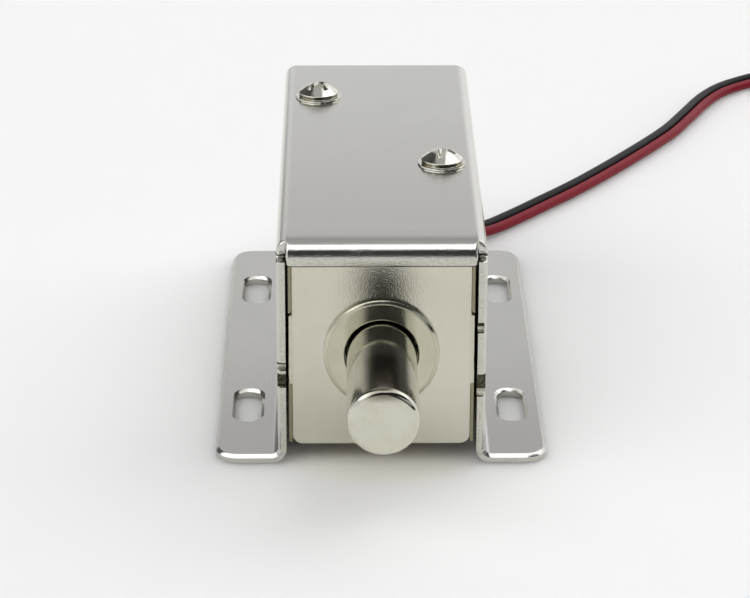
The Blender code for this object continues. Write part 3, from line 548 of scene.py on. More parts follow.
def plated_frame():
    """Thicker blanked steel with a warm, grainy nickel, with painted shade where the channel meets the plates."""
    bench = finish("plated_frame", (0.56, 0.54, 0.47), 1.0, 0.12)
    across, _along, up = bench.coordinates()
    cloud = bench.noise(5.0, 3.0, 0.6)
    grain = bench.noise(0.15, 2.0, 0.65)
    rolled = bench.noise(1.0, 3.0, 0.6, bench.stretch((0.12, 1.0, 3.0)))
    # tarnish clouds, made heavier towards the bottom as painted shade
    low = 1 - up.band(3 * MM, 12 * MM)
    tarnish_and_low_shade = (cloud.band(0.42, 0.72) * (0.35 + low * 0.65)).clamped()
    pits = (1 - bench.cells(1.1).band(0.03, 0.08)) * bench.noise(3.5, 1.0).band(0.48, 0.6)
    side = (across * across) ** 0.5
    # painted shade: darker brown along the plates' side edges and the channel's arm edges, broken by the grain
    edge = side.band(9.9 * MM, 10.35 * MM) * grain.band(0.3, 0.6)
    # painted shade: a dark line in the gap where the plates meet the channel's arms, left out at the ears
    gap_shade = side.band(10.25 * MM, 10.4 * MM) * (1 - bench.inside(up, 9.3 * MM, 18.3 * MM))
    colour = bench.blend(tarnish_and_low_shade * 0.5, (0.605, 0.585, 0.518), (0.515, 0.485, 0.39))
    colour = bench.blend(pits * 0.4, colour, (0.3, 0.27, 0.2))
    colour = bench.blend(edge * 0.35, colour, (0.4, 0.35, 0.2))
    colour = bench.blend(gap_shade * 0.75, colour, (0.16, 0.14, 0.07))
    bench.feed("Base Color", colour)
    bench.feed("Roughness", 0.08 + cloud * 0.05 + rolled * 0.04 + pits * 0.1)
    bench.bump(grain * 1.7 + rolled * 0.5 - pits, 0.01, 0.8)
    return bench.material


def turned_nickel(name, polish, light, dark):
    """Turned steel with fine tool rings, nickel plated and rubbed where it slides, with a painted dark reflection
    along the bolt's top near its tip.
    """
    bench = finish(name, light, 1.0, polish)
    across, along, up = bench.coordinates()
    height = up - BOLT_AXIS
    radius = (across * across + height * height) ** 0.5
    rings = bench.noise(0.16, 2.0, 0.6, bench.node("ShaderNodeCombineXYZ", None, [radius, along]))
    cloud = bench.noise(2.6, 3.0, 0.6)
    grain = bench.noise(0.15, 2.0, 0.6)
    slide = bench.noise(0.8, 2.0, 0.5, bench.stretch((1.0, 0.05, 1.0)))
    rubbed = slide.band(0.55, 0.72)
    pits = (1 - bench.cells(0.7).band(0.04, 0.1)) * bench.noise(2.0, 1.0).band(0.48, 0.6)
    colour = bench.blend((cloud.band(0.35, 0.7) * 0.6 + rings.band(0.35, 0.65) * 0.3).clamped(), light, dark)
    # painted reflection: a dark band along the top of the bolt towards its tip
    top_dark_reflection = 1 - (across * across).band(0, (2.4 * MM) ** 2)
    top_dark_reflection = top_dark_reflection * height.band(2.2 * MM, 3.4 * MM) * (1 - along.band(FRONT - 10 * MM, FRONT - 7 * MM))
    colour = bench.blend(top_dark_reflection * 0.8, colour, (0.12, 0.1, 0.07))
    bench.feed("Base Color", bench.blend(pits * 0.5, colour, (0.3, 0.27, 0.2)))
    bench.feed("Roughness", polish + cloud * 0.04 + rings * 0.02 + rubbed * 0.04)
    bench.bump(rings * 0.3 + grain * polish * 16 + rubbed * 0.2 - pits, 0.004, 0.7)
    return bench.material


def screw_nickel():
    """Bright nickel of a small cold-formed screw."""
    bench = finish("screw_nickel", (0.68, 0.67, 0.62), 1.0, 0.1)
    cloud = bench.noise(1.2, 3.0, 0.6)
    grain = bench.noise(0.15, 2.0, 0.6)
    up = bench.coordinates()[UP]
    # painted shade: a dark, clouded ring at the foot of the dome, where it meets the flange
    dome_foot_shade = bench.inside(up, 27.76 * MM, 28.1 * MM) * cloud.band(0.2, 0.5)
    colour = bench.blend(cloud.band(0.4, 0.75), (0.7, 0.69, 0.64), (0.6, 0.57, 0.47))
    bench.feed("Base Color", bench.blend(dome_foot_shade * 0.85, colour, (0.1, 0.09, 0.04)))
    bench.feed("Roughness", 0.04 + cloud * 0.06 + dome_foot_shade * 0.15)
    bench.bump(grain + cloud * 0.8, 0.005, 0.5)
    return bench.material


def pvc(name, colour, dark):
    """Lead insulation: softly glossy, a little dusty, with faint drawing marks along it."""
    bench = finish(name, colour, 0.0, 0.36)
    cloud = bench.noise(3.0, 3.0, 0.6)
    skin = bench.noise(0.25, 3.0, 0.6)
    dust = bench.noise(0.6, 4.0, 0.7).band(0.6, 0.8)
    bench.feed("Base Color", bench.blend(cloud, colour, dark))
    bench.feed("Roughness", 0.34 + cloud * 0.1 + dust * 0.15)
    bench.feed("Specular IOR Level", 0.16)
    bench.bump(skin * 0.6 + cloud * 0.6, 0.01, 0.4)
    return bench.material


def plain(name, colour, metallic, roughness, size, depth, shade=0.82):
    """A finish with an even colour, clouded and grained at its own scale."""
    bench = finish(name, colour, metallic, roughness)
    cloud = bench.noise(size * 6, 3.0, 0.6)
    grain = bench.noise(size, 3.0, 0.6)
    darker = tuple(value * shade for value in colour)
    bench.feed("Base Color", bench.blend(cloud.band(0.35, 0.7), colour, darker))
    bench.feed("Roughness", roughness * 0.85 + grain * roughness * 0.3)
    bench.bump(grain, depth, 0.5)
    return bench.material


def wound(name, colour, pitch, depth):
    """Round wire laid side by side along the coil."""
    bench = finish(name, colour, 0.9, 0.32)
    along = bench.coordinates()[ALONG]
    saw = along.maths("PINGPONG", along, pitch * MM / 2)
    crown = (saw / (pitch * MM / 2)).clamped()
    cloud = bench.noise(2.0, 2.0)
    bench.feed("Base Color", bench.blend(cloud, colour, tuple(value * 0.7 for value in colour)))
    bench.feed("Roughness", 0.25 + cloud * 0.15)
    bench.bump((1 - (1 - crown) ** 2.0) ** 0.5, depth)
    return bench.material


sheet_metal = nickel_sheet()
frame_metal = plated_frame()
turned_metal = turned_nickel("turned_nickel", 0.06, (0.63, 0.62, 0.555), (0.565, 0.545, 0.465))
bush_metal = turned_nickel("bush_nickel", 0.09, (0.535, 0.525, 0.43), (0.485, 0.47, 0.37))
screw_metal = screw_nickel()
black_pvc = pvc("black_lead", (0.006, 0.006, 0.007), (0.01, 0.01, 0.011))
red_pvc = pvc("red_lead", (0.24, 0.003, 0.017), (0.18, 0.002, 0.012))
spring_metal = plain("spring_steel", (0.4, 0.4, 0.42), 1.0, 0.3, 0.2, 0.003)
brass_tube = plain("brass", (0.72, 0.52, 0.2), 1.0, 0.3, 0.3, 0.003)
copper_wire = wound("copper_winding", (0.6, 0.22, 0.08), 0.25, 0.05)
bobbin_nylon = plain("bobbin_nylon", (0.72, 0.71, 0.66), 0.0, 0.45, 0.4, 0.008, 0.92)
wrap_tape = plain("coil_tape", (0.62, 0.4, 0.05), 0.0, 0.32, 0.8, 0.02, 0.85)
damper_rubber = plain("rubber", (0.03, 0.03, 0.03), 0.0, 0.75, 0.3, 0.01)
shrink_plastic = plain("shrink_sleeve", (0.03, 0.03, 0.032), 0.0, 0.5, 0.3, 0.01)
tie_plastic = plain("tie_nylon", (0.74, 0.74, 0.7), 0.0, 0.42, 0.3, 0.006, 0.94)
plug_nylon = plain("connector_nylon", (0.8, 0.79, 0.74), 0.0, 0.42, 0.3, 0.006, 0.94)
tin_plate = plain("tinned_contact", (0.65, 0.65, 0.66), 1.0, 0.28, 0.2, 0.003)


# Leads: the pair runs side by side along the surface, climbs into the coil and on to the plug

LEAD = 1.4
LEAD_SIDE, LEAD_DROP = 7.35, 8.94
LEAD_EXIT = AXIS_HEIGHT - LEAD_DROP
EXIT_PITCH, CLOSE_PITCH = 2.1, 1.48
REST = LEAD / 2 + 0.06
ROUTE = (
    (7.7, 65.4, 0.936), (9.8, 67.75, 0.641), (12.4, 69.5, 0.256), (15.6, 72.6, 0.038),
    (19.6, 77.3, 0.0), (23.8, 82.5, 0.0), (28.2, 88.0, 0.0), (32.3, 93.6, 0.0),
    (38.4, 102.6, 0.0), (44.6, 112.5, 0.0), (48.2, 119.9, 0.0), (51.9, 127.9, 0.0),
    (55.6, 133.5, 0.0), (60.6, 137.8333, 0.0), (65.0, 140.1667, 0.026), (68.3, 141.3, 0.077),
)
COIL_SIDE, COIL_DEPTH = 76.0, 131.5
COIL_HEIGHT = 0.5 + LEAD
COIL_START, COIL_SWEEP = math.radians(104), 2.22 * math.tau + math.radians(14)
COIL_STEPS = 44
COIL_RADIUS, COIL_TIGHTENS = 9.9, 3.1
COIL_CLOSED, COIL_LEFT = 0.12, 0.87
WOUND_PITCH, CRIMP_PITCH = 1.5, 2.5
TAIL = ((83.0, 129.0, 4.35), (83.5, 125.0, 4.3), (83.7, 121.8, 3.6), (83.7, 119.0, 2.9), (83.7, 117.0, 2.9))


def pair_line():
    """Middle of the pair, with the pitch between the leads and how far black lies on red."""
    line = [
        (Vector((LEAD_SIDE, depth, LEAD_EXIT)), EXIT_PITCH, 0.0)
        for depth in (54.0, 56.8, 59.6, 62.4)
    ]
    for index, (side, depth, share) in enumerate(ROUTE):
        closed = min((index + 1) / 4, 1.0)
        rising = max(0.0, (index - 12) / 3)
        pitch = EXIT_PITCH + (CLOSE_PITCH - EXIT_PITCH) * closed
        climb = 11 * closed + 9 * rising
        height = REST + (LEAD_EXIT - REST) * share
        height += pitch / 2 * math.sin(math.radians(climb)) * (1 - rising)
        line.append((Vector((side, depth, height)), pitch, climb))
    for index in range(1, COIL_STEPS + 1):
        share = index / COIL_STEPS
        angle = COIL_START - share * COIL_SWEEP
        radius = COIL_RADIUS - COIL_TIGHTENS * share
        entered = min(share / COIL_CLOSED, 1.0)
        climb = 20 + 70 * entered
        height = 1.0 + (COIL_HEIGHT - 1.0) * entered
        if share > COIL_LEFT:
            leave = (share - COIL_LEFT) / (1 - COIL_LEFT)
            climb = 90 * (1 - leave)
            height += (TAIL[0][2] - height) * leave
        place = Vector((COIL_SIDE + radius * math.cos(angle), COIL_DEPTH + radius * math.sin(angle), height))
        line.append((place, WOUND_PITCH, climb))
    for index, place in enumerate(TAIL):
        opened = min((index + 1) / 3, 1.0)
        line.append((Vector(place), WOUND_PITCH + (CRIMP_PITCH - WOUND_PITCH) * opened, 0.0))
    return line


def smooth(points, per_span):
    """Places along a smooth curve through the given ones."""
    line = []
    for index in range(len(points) - 1):
        before = points[max(index - 1, 0)]
        first, second = points[index], points[index + 1]
        after = points[min(index + 2, len(points) - 1)]
        for step in range(per_span):
            t = step / per_span
            line.append(0.5 * (
                2 * first + (second - before) * t
                + (2 * before - 5 * first + 4 * second - after) * t * t
                + (3 * first - before - 3 * second + after) * t * t * t
            ))
    line.append(points[-1])
    return line


def lead(name, side):
    """One lead of the pair, as a round tube along its own line."""
    pair = pair_line()
    points = []
    for index, (place, pitch, climb) in enumerate(pair):
        heading = pair[min(index + 1, len(pair) - 1)][0] - pair[max(index - 1, 0)][0]
        left = Vector((-heading.y, heading.x, 0.0)).normalized()
        rise = math.radians(climb)
        away = left * math.cos(rise) + Vector((0, 0, 1)) * math.sin(rise)
        points.append(place + away * side * pitch / 2)
    line = [spot(*place) for place in smooth(points, 3)]
    curve = bpy.data.curves.new(name, "CURVE")
    curve.dimensions = "3D"
    curve.bevel_depth = LEAD / 2 * MM
    curve.bevel_resolution = 4
    curve.use_fill_caps = True
    path = curve.splines.new("POLY")
    path.points.add(len(line) - 1)
    for point, place in zip(path.points, line):
        point.co = (*place, 1.0)
    piece = bpy.data.objects.new(name, curve)
    bpy.context.scene.collection.objects.link(piece)
    return piece


# Cover: one folded sheet, open at both ends

def on_skin(place):
    """Whether a place in millimetres lies on the outer side of the folded sheet."""
    side, height = abs(place.x), place.z
    across_top, below_top = WALL_SIDE - TOP_BEND, COVER_HEIGHT - TOP_BEND
    beside_wall, above_foot = WALL_SIDE + FOOT_BEND, SHEET + FOOT_BEND
    if height > below_top and side > across_top:
        return abs(math.hypot(side - across_top, height - below_top) - TOP_BEND) < 0.03
    if height < above_foot and side < beside_wall:
        return abs(math.hypot(side - beside_wall, height - above_foot) - FOOT_BEND) < 0.03
    if height <= above_foot:
        return abs(height - SHEET) < 0.01
    if height >= below_top:
        return abs(height - COVER_HEIGHT) < 0.01
    return abs(side - WALL_SIDE) < 0.01


def on_slot(place):
    """Whether a place in millimetres lies near the slots' outlines, on top of a flange."""
    if abs(place.z - SHEET) > 0.01 or abs(abs(place.x) - SLOT_SIDE) > SLOT_RADIUS + 0.05:
        return False
    return min(abs(place.y - depth) for depth in SLOT_DEPTHS) < SLOT_REACH + 0.05


def outside_flap(place):
    """Whether a place in millimetres lies on the outer side of the front flap."""
    below = COVER_HEIGHT - FLAP_BEND
    if place.z <= below:
        return place.y < 0.01
    return abs(math.hypot(FLAP_BEND - min(place.y, FLAP_BEND), place.z - below) - FLAP_BEND) < 0.03


def fold_cover():
    """The hat section with its rounded flange corners and eased outer edges."""
    half, wall, top = SHEET / 2, WALL_SIDE - SHEET / 2, COVER_HEIGHT - SHEET / 2
    line = (
        (-FLANGE_SIDE, half), (-wall, half), (-wall, top), (wall, top), (wall, half), (FLANGE_SIDE, half),
    )
    bends = (0, FOOT_BEND + half, TOP_BEND - half, TOP_BEND - half, FOOT_BEND + half, 0)
    cover = draw(
        "folded_cover", ALONG, [(x * MM, z * MM) for x, z in line], [r * MM for r in bends],
        closed=False, along=FRONT, steps=10,
    )
    fold(cover, ALONG, COVER_LENGTH * MM, SHEET * MM)
    corners = (
        (-FLANGE_SIDE, 0), (FLANGE_SIDE, 0), (FLANGE_SIDE, COVER_LENGTH), (-FLANGE_SIDE, COVER_LENGTH),
    )
    rim = [spot(x, depth, 0)[:2] for x, depth in corners]
    blank = draw("blank", UP, rim, [2.6 * MM] * 4, along=-2 * MM, steps=10)
    cut(cover, draw_out(blank, UP, 34 * MM), "INTERSECT")
    return round_edges(cover, 0.38, 1, lambda a, b: on_skin(a) and on_skin(b))


def clear_front(cover):
    """Opens the top for the flap, and cuts the corner reliefs and the notches."""
    inner = WALL_SIDE - SHEET
    over = COVER_HEIGHT + 1.0
    cut(cover, block("window", (-inner, -1, 25.5), (inner, 1.0, over)))
    cut(cover, block("bend_window", (-10.86, -1, 25.5), (10.86, 2.4, over)))
    for left, right in ((-13, -FLAP_SIDE), (FLAP_SIDE, 13)):
        cut(cover, block("bend_end", (left, -1, 25.9), (right, BEND_END, over)))
        cut(cover, block("relief", (left, -1, LEDGE), (right, 1.6, 25.9), 0.3, ACROSS))
    round_edges(
        cover, 0.45, 4,
        lambda a, b: max(abs(a.y - BEND_END), abs(b.y - BEND_END)) < 0.01 and on_skin(a) and on_skin(b),
    )
    round_edges(
        cover, 0.25, 3,
        lambda a, b: max(abs(a.z - LEDGE), abs(b.z - LEDGE)) < 0.01 and min(abs(a.x), abs(b.x)) > 11.5,
    )
    for left, right, foot, head in NOTCHES:
        cut(cover, block("notch", (left, -NOTCH_DEPTH, foot), (right, NOTCH_DEPTH, head), 0.3, ACROSS))
    return cover


def cut_slots(cover):
    """Four obround slots with broken edges, and the two holes for the screws."""
    ends = (
        (-SLOT_RADIUS, -SLOT_REACH), (SLOT_RADIUS, -SLOT_REACH),
        (SLOT_RADIUS, SLOT_REACH), (-SLOT_RADIUS, SLOT_REACH),
    )
    for side in (-SLOT_SIDE, SLOT_SIDE):
        for depth in SLOT_DEPTHS:
            outline = [spot(side + x, depth + y, 0)[:2] for x, y in ends]
            slot = draw("slot", UP, outline, [SLOT_RADIUS * MM] * 4, along=-1 * MM, steps=12)
            cut(cover, draw_out(slot, UP, 3 * MM))
    round_edges(cover, 0.35, 1, lambda a, b: on_slot(a) and on_slot(b))
    for side, depth in SCREWS:
        cut(cover, rod("screw_hole", SCREW_HOLE, 23, 30, UP, (side, depth, 0)))
    return cover


def make_flap():
    """The front flap with its bend, a little rounded at the corners and along its lower edge."""
    middle, top = SHEET / 2, COVER_HEIGHT - SHEET / 2
    line = ((3.6, top), (middle, top), (middle, FLAP_FOOT))
    flap = draw(
        "flap", ACROSS, [(FRONT + depth * MM, z * MM) for depth, z in line],
        (0, (FLAP_BEND - middle) * MM, 0), closed=False, along=-FLAP_SIDE * MM, steps=12,
    )
    fold(flap, ACROSS, 2 * FLAP_SIDE * MM, SHEET * MM)
    round_edges(flap, 0.5, 4, lambda a, b: max(a.z, b.z) < FLAP_FOOT + 0.08 and abs(a.y - b.y) > 0.9)
    round_edges(
        flap, 0.3, 4,
        lambda a, b: outside_flap(a) and outside_flap(b) and abs(a.x) > 10.3 and max(a.y, b.y) < 1.0,
    )
    return round_edges(
        flap, 0.3, 4, lambda a, b: outside_flap(a) and outside_flap(b) and max(a.z, b.z) < FLAP_FOOT + 0.08
    )


def make_cover():
    """The folded cover with its flap."""
    cover = cut_slots(clear_front(fold_cover()))
    cut(cover, make_flap(), "UNION")
    return ease(cover, 0.07, 2)


# Solenoid: channel, end plates, bush, bolt, core, spring and coil

def lead_passage():
    """Tool for the lower right corner at the rear, where the leads pass."""
    return block("passage", (5.0, 59, -1), (24, 64, 5.9), 0.3, ALONG)


def make_yoke():
    """The channel under the cover, with windows for the plates' ears and two tapped collars."""
    line = (
        (-YOKE_SIDE, YOKE_FOOT), (-YOKE_SIDE, YOKE_TOP), (YOKE_SIDE, YOKE_TOP), (YOKE_SIDE, YOKE_FOOT),
    )
    bends = (0, YOKE_BEND * MM, YOKE_BEND * MM, 0)
    yoke = draw(
        "folded_yoke", ALONG, [(x * MM, z * MM) for x, z in line], bends,
        closed=False, along=FRONT + YOKE_FRONT * MM, steps=8,
    )
    fold(yoke, ALONG, YOKE_LENGTH * MM, SHEET * MM)
    for start_depth, end_depth in ((-1, BOBBIN_FRONT), (BOBBIN_REAR, 66)):
        cut(yoke, block("pocket", (-10.35, start_depth, -1), (10.35, end_depth, 25.3)))
        cut(yoke, block("ear_window", (-13, start_depth, 9.48), (13, end_depth, 18.12)))
    for side, depth in SCREWS:
        cut(yoke, rod("collar", COLLAR, 24.3, YOKE_TOP, UP, (side, depth, 0)), "UNION")
        cut(yoke, rod("tapped_hole", SCREW_HOLE, 23, 30, UP, (side, depth, 0)))
    return ease(yoke, 0.05)


def make_plate(name, front, bore):
    """End plate whose two ears stand in the windows of the channel's arms."""
    half = (
        (PLATE_EDGE, YOKE_FOOT, 1.2), (PLATE_EDGE, EAR_FOOT, 0.1), (EAR_SIDE, EAR_FOOT, 0.2),
        (EAR_SIDE, EAR_HEAD, 0.2), (PLATE_EDGE, EAR_HEAD, 0.1), (PLATE_EDGE, 25.18, 0.3),
    )
    whole = [*half, *((-x, z, r) for x, z, r in reversed(half))]
    plate = draw(
        name, ALONG, [(x * MM, z * MM) for x, z, _r in whole], [r * MM for _x, _z, r in whole],
        along=FRONT + front * MM, steps=8,
    )
    draw_out(plate, ALONG, PLATE * MM)
    return plate, rod("bore", bore, front - 1, front + 3, ALONG, (0, 0, AXIS_HEIGHT), 96)


def make_bolt():
    """The plunger: a bright round bolt in front, its thicker tail bored for the spring."""
    return turn("sliding_bolt", (
        (0, -18.3, 0), (4.0, -18.3, 0.8), (4.0, 4.54, 0), (4.45, 4.54, 0.05),
        (4.75, 4.84, 0.05), (4.75, 36.43, 0.05), (3.2, 37.98, 0.05), (2.85, 37.98, 0.05),
        (2.85, 23.98, 0), (0, 23.98, 0),
    ), closed=False)


def make_core():
    """The fixed core with its spring seat, its rear end riveted over the plate."""
    return turn("riveted_core", (
        (0, 51.28, 0), (2.85, 51.28, 0), (2.85, 48.28, 0.05), (3.2, 48.28, 0.05), (4.45, 47.03, 0.05),
        (4.75, 47.03, 0.05), (4.75, 60.68, 0), (2.6, 60.68, 0), (2.6, 62.52, 0), (3.6, 62.52, 0.05),
        (3.6, 62.92, 0.15), (3.2, 63.32, 0.3), (0, 63.32, 0),
    ), closed=False)


def make_spring():
    """Eleven turns of round wire, with the end turns laid close."""
    curve = bpy.data.curves.new("coiled_spring", "CURVE")
    curve.dimensions = "3D"
    curve.bevel_depth = WIRE_RADIUS * MM
    curve.bevel_resolution = 3
    curve.use_fill_caps = True
    path = curve.splines.new("POLY")
    path.points.add(SPRING_TURNS * SPRING_STEPS)
    open_length = SPRING_REAR - SPRING_FRONT - 2 * END_PITCH
    for index, point in enumerate(path.points):
        turned = index / SPRING_STEPS
        free = min(max(turned - 1, 0), SPRING_TURNS - 2) / (SPRING_TURNS - 2)
        ends = min(turned, 1) + max(turned - SPRING_TURNS + 1, 0)
        depth = SPRING_FRONT + END_PITCH * ends + open_length * free
        angle = math.tau * turned
        height = AXIS_HEIGHT + SPRING_RADIUS * math.sin(angle)
        point.co = (*spot(SPRING_RADIUS * math.cos(angle), depth, height), 1.0)
    piece = bpy.data.objects.new("coiled_spring", curve)
    bpy.context.scene.collection.objects.link(piece)
    only(piece)
    bpy.ops.object.convert(target="MESH")
    return round_shading(bpy.context.object, 60)


def make_bobbin():
    """The bobbin with a square cheek at each end, bored for the brass tube."""
    bobbin = rod("wound_bobbin", 6.12, BOBBIN_FRONT, BOBBIN_REAR, ALONG, (0, 0, AXIS_HEIGHT), 96)
    for front in (BOBBIN_FRONT, BOBBIN_REAR - CHEEK):
        cheek = block("cheek", (-9.5, front, 2.4), (9.5, front + CHEEK, 24.68), 1.0, ALONG, 6)
        cut(bobbin, cheek, "UNION")
    cut(bobbin, rod("bore", 5.32, 0, 64, ALONG, (0, 0, AXIS_HEIGHT), 96))
    cut(bobbin, lead_passage())
    return ease(bobbin, 0.08)


def make_screw(name, side, depth, angle):
    """Screw with a thin flange, a dome and a cross recess, turned as it was left."""
    outline = (
        (0, 29.366, 0), (0.8995, 29.366, 2.54), (2.52, 28.2, 0.1), (2.45, 27.72, 0.04),
        (2.9, 27.72, 0.05), (2.95, 27.52, 0.02), (1.5, 27.52, 0), (1.5, 23.92, 0), (1.0, 23.42, 0), (0, 23.42, 0),
    )
    profile = [((side + radius) * MM, height * MM) for radius, height, _round in outline]
    radii = [rounding * MM for _radius, _height, rounding in outline]
    screw = draw(name, ALONG, profile, radii, closed=False, along=FRONT + depth * MM, steps=8)
    spin_round(screw, spot(side, depth, 0), (0, 0, 1), 72)
    for turned in (angle, angle + 90):
        wing = block("recess", (side - 2.7, depth - 0.48, 28.27), (side + 2.7, depth + 0.48, 29.45))
        only(wing)
        bpy.ops.object.mode_set(mode="EDIT")
        bpy.ops.mesh.select_mode(type="FACE")
        bpy.ops.mesh.select_all(action="DESELECT")
        mesh = bmesh.from_edit_mesh(wing.data)
        for face in mesh.faces:
            face.select = face.normal.z < -0.9
        bmesh.update_edit_mesh(wing.data)
        bpy.ops.transform.resize(value=(0.35, 0.56, 1))
        bpy.ops.object.mode_set(mode="OBJECT")
        swing(wing, turned, (side, depth, 0))
        cut(screw, wing)
    return ease(screw, 0.04, 3, 42)


cover = make_cover()
hand_over(cover, sheet_metal, "nickel_sheet", "lock_body", "cover")
hand_over(make_yoke(), frame_metal, "plated_frame", "lock_body", "yoke")
front_plate, bore = make_plate("front_end_plate", FRONT_PLATE, 5.22)
settle(cut(ease(front_plate, 0.1, 3), bore))
hand_over(front_plate, frame_metal, "plated_frame", "lock_body", "front_plate")
rear_plate, bore = make_plate("rear_end_plate", REAR_PLATE, 2.72)
cut(rear_plate, lead_passage())
settle(cut(ease(rear_plate, 0.12, 3), bore))
hand_over(rear_plate, frame_metal, "plated_frame", "lock_body", "rear_plate")
bush = turn("staked_bush", (
    (4.25, 0.33, 0.15), (6.22, 0.33, 0.04), (6.25, 0.38, 0.03), (6.33, 0.38, 0.04), (6.65, 0.58, 0.06),
    (6.65, 1.2, 0), (5.1, 1.2, 0), (5.1, 3.3, 0.1), (4.25, 3.3, 0.1),
))
hand_over(bush, bush_metal, "turned_nickel", "lock_body", "bolt_bush")
hand_over(make_bolt(), turned_metal, "turned_nickel", "bolt_body", "bolt")
damper = ring("rubber_damper", 4.15, 4.63, 3.42, 4.42, 0.15)
hand_over(damper, damper_rubber, "rubber", "bolt_body", "damping_ring")
hand_over(make_core(), turned_metal, "turned_nickel", "lock_body", "fixed_core")
spring = make_spring()
hand_over(spring, spring_metal, "spring_steel", "lock_body", "return_spring")
spot(0, 51.15, 0)
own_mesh(spring)
sleeve = ring("brass_sleeve", 4.9, 5.2, 3.42, BOBBIN_REAR, 0.05)
hand_over(sleeve, brass_tube, "brass", "lock_body", "guide_sleeve")
hand_over(make_bobbin(), bobbin_nylon, "bobbin_nylon", "lock_body", "bobbin")
winding = ring("wire_winding", 6.24, 8.98, WOUND_FRONT, WOUND_REAR)
hand_over(winding, copper_wire, "copper_winding", "lock_body", "coil_winding")
wrap = ring("tape_wrap", 9.1, 9.35, WOUND_FRONT, WOUND_REAR, 0.05)
hand_over(wrap, wrap_tape, "coil_tape", "lock_body", "coil_tape")
rear_screw = make_screw("rear_cover_screw", *SCREWS[0], 40)
hand_over(rear_screw, screw_metal, "screw_nickel", "lock_body", "screw_rear_left")
front_screw = make_screw("front_cover_screw", *SCREWS[1], -12.5)
hand_over(front_screw, screw_metal, "screw_nickel", "lock_body", "screw_front_right")
for side, node in ((1, "splice_black"), (-1, "splice_red")):
    splice = turn(node + "_sleeve", (
        (0, 51.5, 0), (0.95, 51.5, 0.35), (0.95, 59.5, 0.05),
        (0.8, 59.5, 0), (0.8, 53.88, 0), (0, 53.88, 0),
    ), closed=False, centre=((LEAD_SIDE - side * EXIT_PITCH / 2) * MM, LEAD_EXIT * MM), steps=32)
    hand_over(splice, shrink_plastic, "shrink_sleeve", "lock_body", node)


# Tie, plug and contacts at the far end of the leads

def at_coil(side, depth, height):
    """A place seen from the middle of the leads' coil."""
    return COIL_SIDE + side, COIL_DEPTH + depth, height


def make_tie():
    """A strap round one side of the leads' coil, with its square head outside."""
    tie = block("cable_tie", at_coil(5.9, -1.0, 0.0), at_coil(11.1, 1.0, 3.8), 0.8, ALONG, 6)
    head = block("tie_head", at_coil(10.91, -1.3, 0.5), at_coil(12.4, 1.3, 3.1), 0.25)
    cut(tie, head, "UNION")
    inside = block("tie_inside", at_coil(6.28, -2.0, 0.38), at_coil(10.72, 2.0, 3.42), 0.5, ALONG, 6)
    cut(tie, inside)
    cut(tie, block("tie_gate", at_coil(11.5, -0.8, -1), at_coil(11.95, 0.8, 5)))
    swing(tie, 215, (COIL_SIDE, COIL_DEPTH, 0))
    return ease(tie, 0.06)


def make_plug():
    """The housing with a rib on each side, two cavities and a latch window over each."""
    middle = PLUG_SIDE
    plug = block("plug_housing", (middle - 3.7, 108.2, 0), (middle + 3.7, 118.2, 5.8), 0.4, ALONG)
    for side in (-1, 1):
        rib = (middle + side * 3.7 - 0.5, middle + side * 3.7 + 0.5)
        cut(plug, block("rib", (rib[0], 108.2, 1.7), (rib[1], 113.2, 2.7)), "UNION")
    for way in (middle - WAY_SIDE, middle + WAY_SIDE):
        cut(plug, block("cavity", (way - 1.0, 107, 1.9), (way + 1.0, 120, 3.9)))
        cut(plug, block("window", (way - 0.75, 110.6, 2.9), (way + 0.75, 112.8, 7)))
    return ease(plug, 0.1)


def make_contact(name, side):
    """A crimp contact: an open box for the pin and a barrel round the lead's end."""
    middle = PLUG_SIDE + side
    contact = block(name, (middle - 0.75, 109.0, 2.15), (middle + 0.75, 114.4, 3.65), 0.2, ALONG)
    cut(contact, block("socket", (middle - 0.45, 108, 2.45), (middle + 0.45, 114.1, 3.35)))
    cut(contact, rod("barrel", 0.6, 114.25, 116.7, ALONG, (middle, 0, 2.9), 32), "UNION")
    return ease(contact, 0.05)


tie = make_tie()
plug = make_plug()
hand_over(tie, tie_plastic, "tie_nylon", "lock_body", "lead_tie")
hand_over(plug, plug_nylon, "connector_nylon", "lock_body", "connector_housing")
black_contact = make_contact("crimp_contact_black", WAY_SIDE)
red_contact = make_contact("crimp_contact_red", -WAY_SIDE)
hand_over(black_contact, tin_plate, "tinned_contact", "lock_body", "contact_black")
hand_over(red_contact, tin_plate, "tinned_contact", "lock_body", "contact_red")

black = lead("lead_black_run", 1)
red = lead("lead_red_run", -1)
hand_over(black, black_pvc, "black_lead", "lock_body", "lead_black", "lead_tail_black", "lead_coil")
hand_over(red, red_pvc, "red_lead", "lock_body", "lead_red", "lead_tail_red")
for piece, side, ends in ((black, 1, [plug, tie, black_contact]), (red, -1, [red_contact])):
    spot(LEAD_SIDE - side * 1.05, 62.4, LEAD_EXIT)


# Light and floor

SOFTBOX = 2.1
FLOOR = 0.893


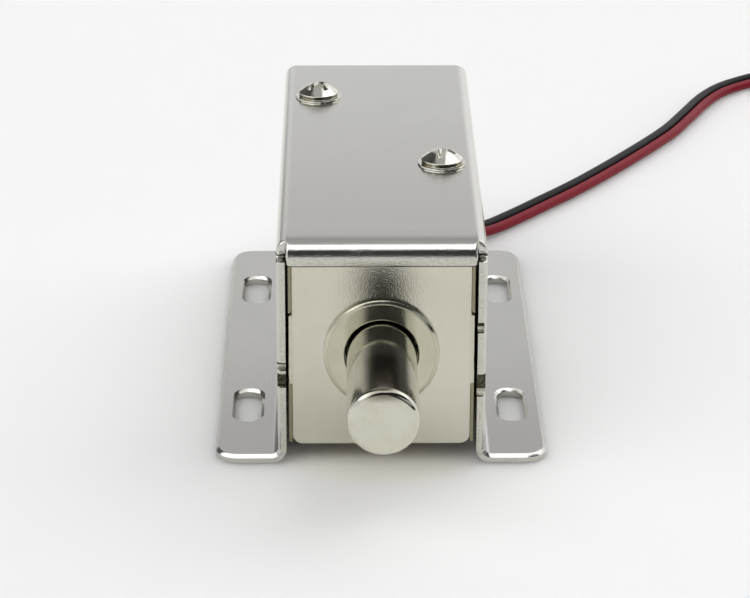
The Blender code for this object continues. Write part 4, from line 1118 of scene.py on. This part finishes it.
def studio():
    """A long softbox that runs over the lock from front left to back right, and the room round it."""
    world = bpy.data.worlds.new("studio")
    bpy.context.scene.world = world
    bench = Bench(world, "Background", "Generated")
    across, along, up = bench.coordinates()
    leftward = 0 - across
    rightward = across.maths("MAXIMUM", across, 0.0)
    wall = 0.68 + (1 - up.band(0.3, 0.38)) * 0.22 - up.band(0.5, 0.95) * 0.18
    wall = wall + across.band(0.15, 0.4) * (0.15 + up.band(0.05, 0.35) * 0.2 + up.band(0.45, 0.6) * 0.8)
    hollow = leftward.band(0.25, 0.45) * (1 - leftward.band(0.8, 0.95)) * along.band(-0.15, -0.05)
    wall = wall * (1 - hollow * 0.85)
    horizon = (1 - up.band(0.1, 0.24)) * (1 - across.band(0.08, 0.25)) * 0.9
    far_right = rightward.band(0.33, 0.5) * up.band(0.14, 0.2) * (1 - up.band(0.42, 0.5)) * 0.4
    left_wall = leftward.band(0.27, 0.4) * (1 - up.band(0.55, 0.7)) * 0.75
    room = 0.05 + far_right + horizon.maths("MAXIMUM", horizon, left_wall)
    overhead = (1 - across.band(0.1, 0.3)) * (1 - leftward.band(0.1, 0.3)) * up.band(0.5, 0.7)
    share = (along + overhead * 0.3).band(0.0, 0.06)
    level = room + share * (wall - room)
    box = along.band(-0.7, -0.66) * (along - across).band(-0.8, -0.74) * up.band(0.4, 0.5)
    back_edge = along - rightward * 1.15 - leftward.maths("MAXIMUM", leftward, 0.0) * 0.65
    box = box * (1 - back_edge.band(-0.3, -0.24))
    bench.feed("Color", (1.0, 1.0, 1.0, 1.0))
    bench.feed("Strength", level + box * (SOFTBOX - level))


def floor_sheet():
    """White acrylic sheet, which spreads the light inside it and looks warm in the metal, with a painted warm
    glow of bounced light under the lock's front.
    """
    bench = finish("floor_sheet", (0.93, 0.93, 0.93), 0.0, 0.7)
    glossy = bench.node("ShaderNodeLightPath", output="Is Glossy Ray")
    across, along, _up = bench.coordinates()
    # painted light: a warm glow of bounced light on the floor under the lock's front
    near = (across * across) / (11 * MM) ** 2 + ((along - FRONT) / (6 * MM)) ** 2.0
    white, warm = (FLOOR, FLOOR, FLOOR + 0.002), (FLOOR, FLOOR * 0.955, FLOOR * 0.82)
    floor_with_bounce_glow = bench.blend((1 - near.band(0.3, 1.2)) * 0.6, white, warm)
    bench.feed("Base Color", bench.blend(glossy, floor_with_bounce_glow, (1.0, 0.97, 0.87)))
    bench.feed("Subsurface Weight", 1.0)
    bench.feed("Subsurface Radius", (1.0, 1.0, 1.0))
    bench.feed("Subsurface Scale", 0.008)
    return bench.material


studio()
bpy.context.scene.view_settings.view_transform = "Standard"

bpy.ops.object.select_all(action="DESELECT")
bpy.ops.mesh.primitive_circle_add(vertices=64, radius=1.6, fill_type="NGON", location=(0, 0, -0.00005))
floor = start(bpy.context.object, "floor")
bpy.ops.object.transform_apply(location=True, rotation=True, scale=True)
floor.data.materials.append(floor_sheet())
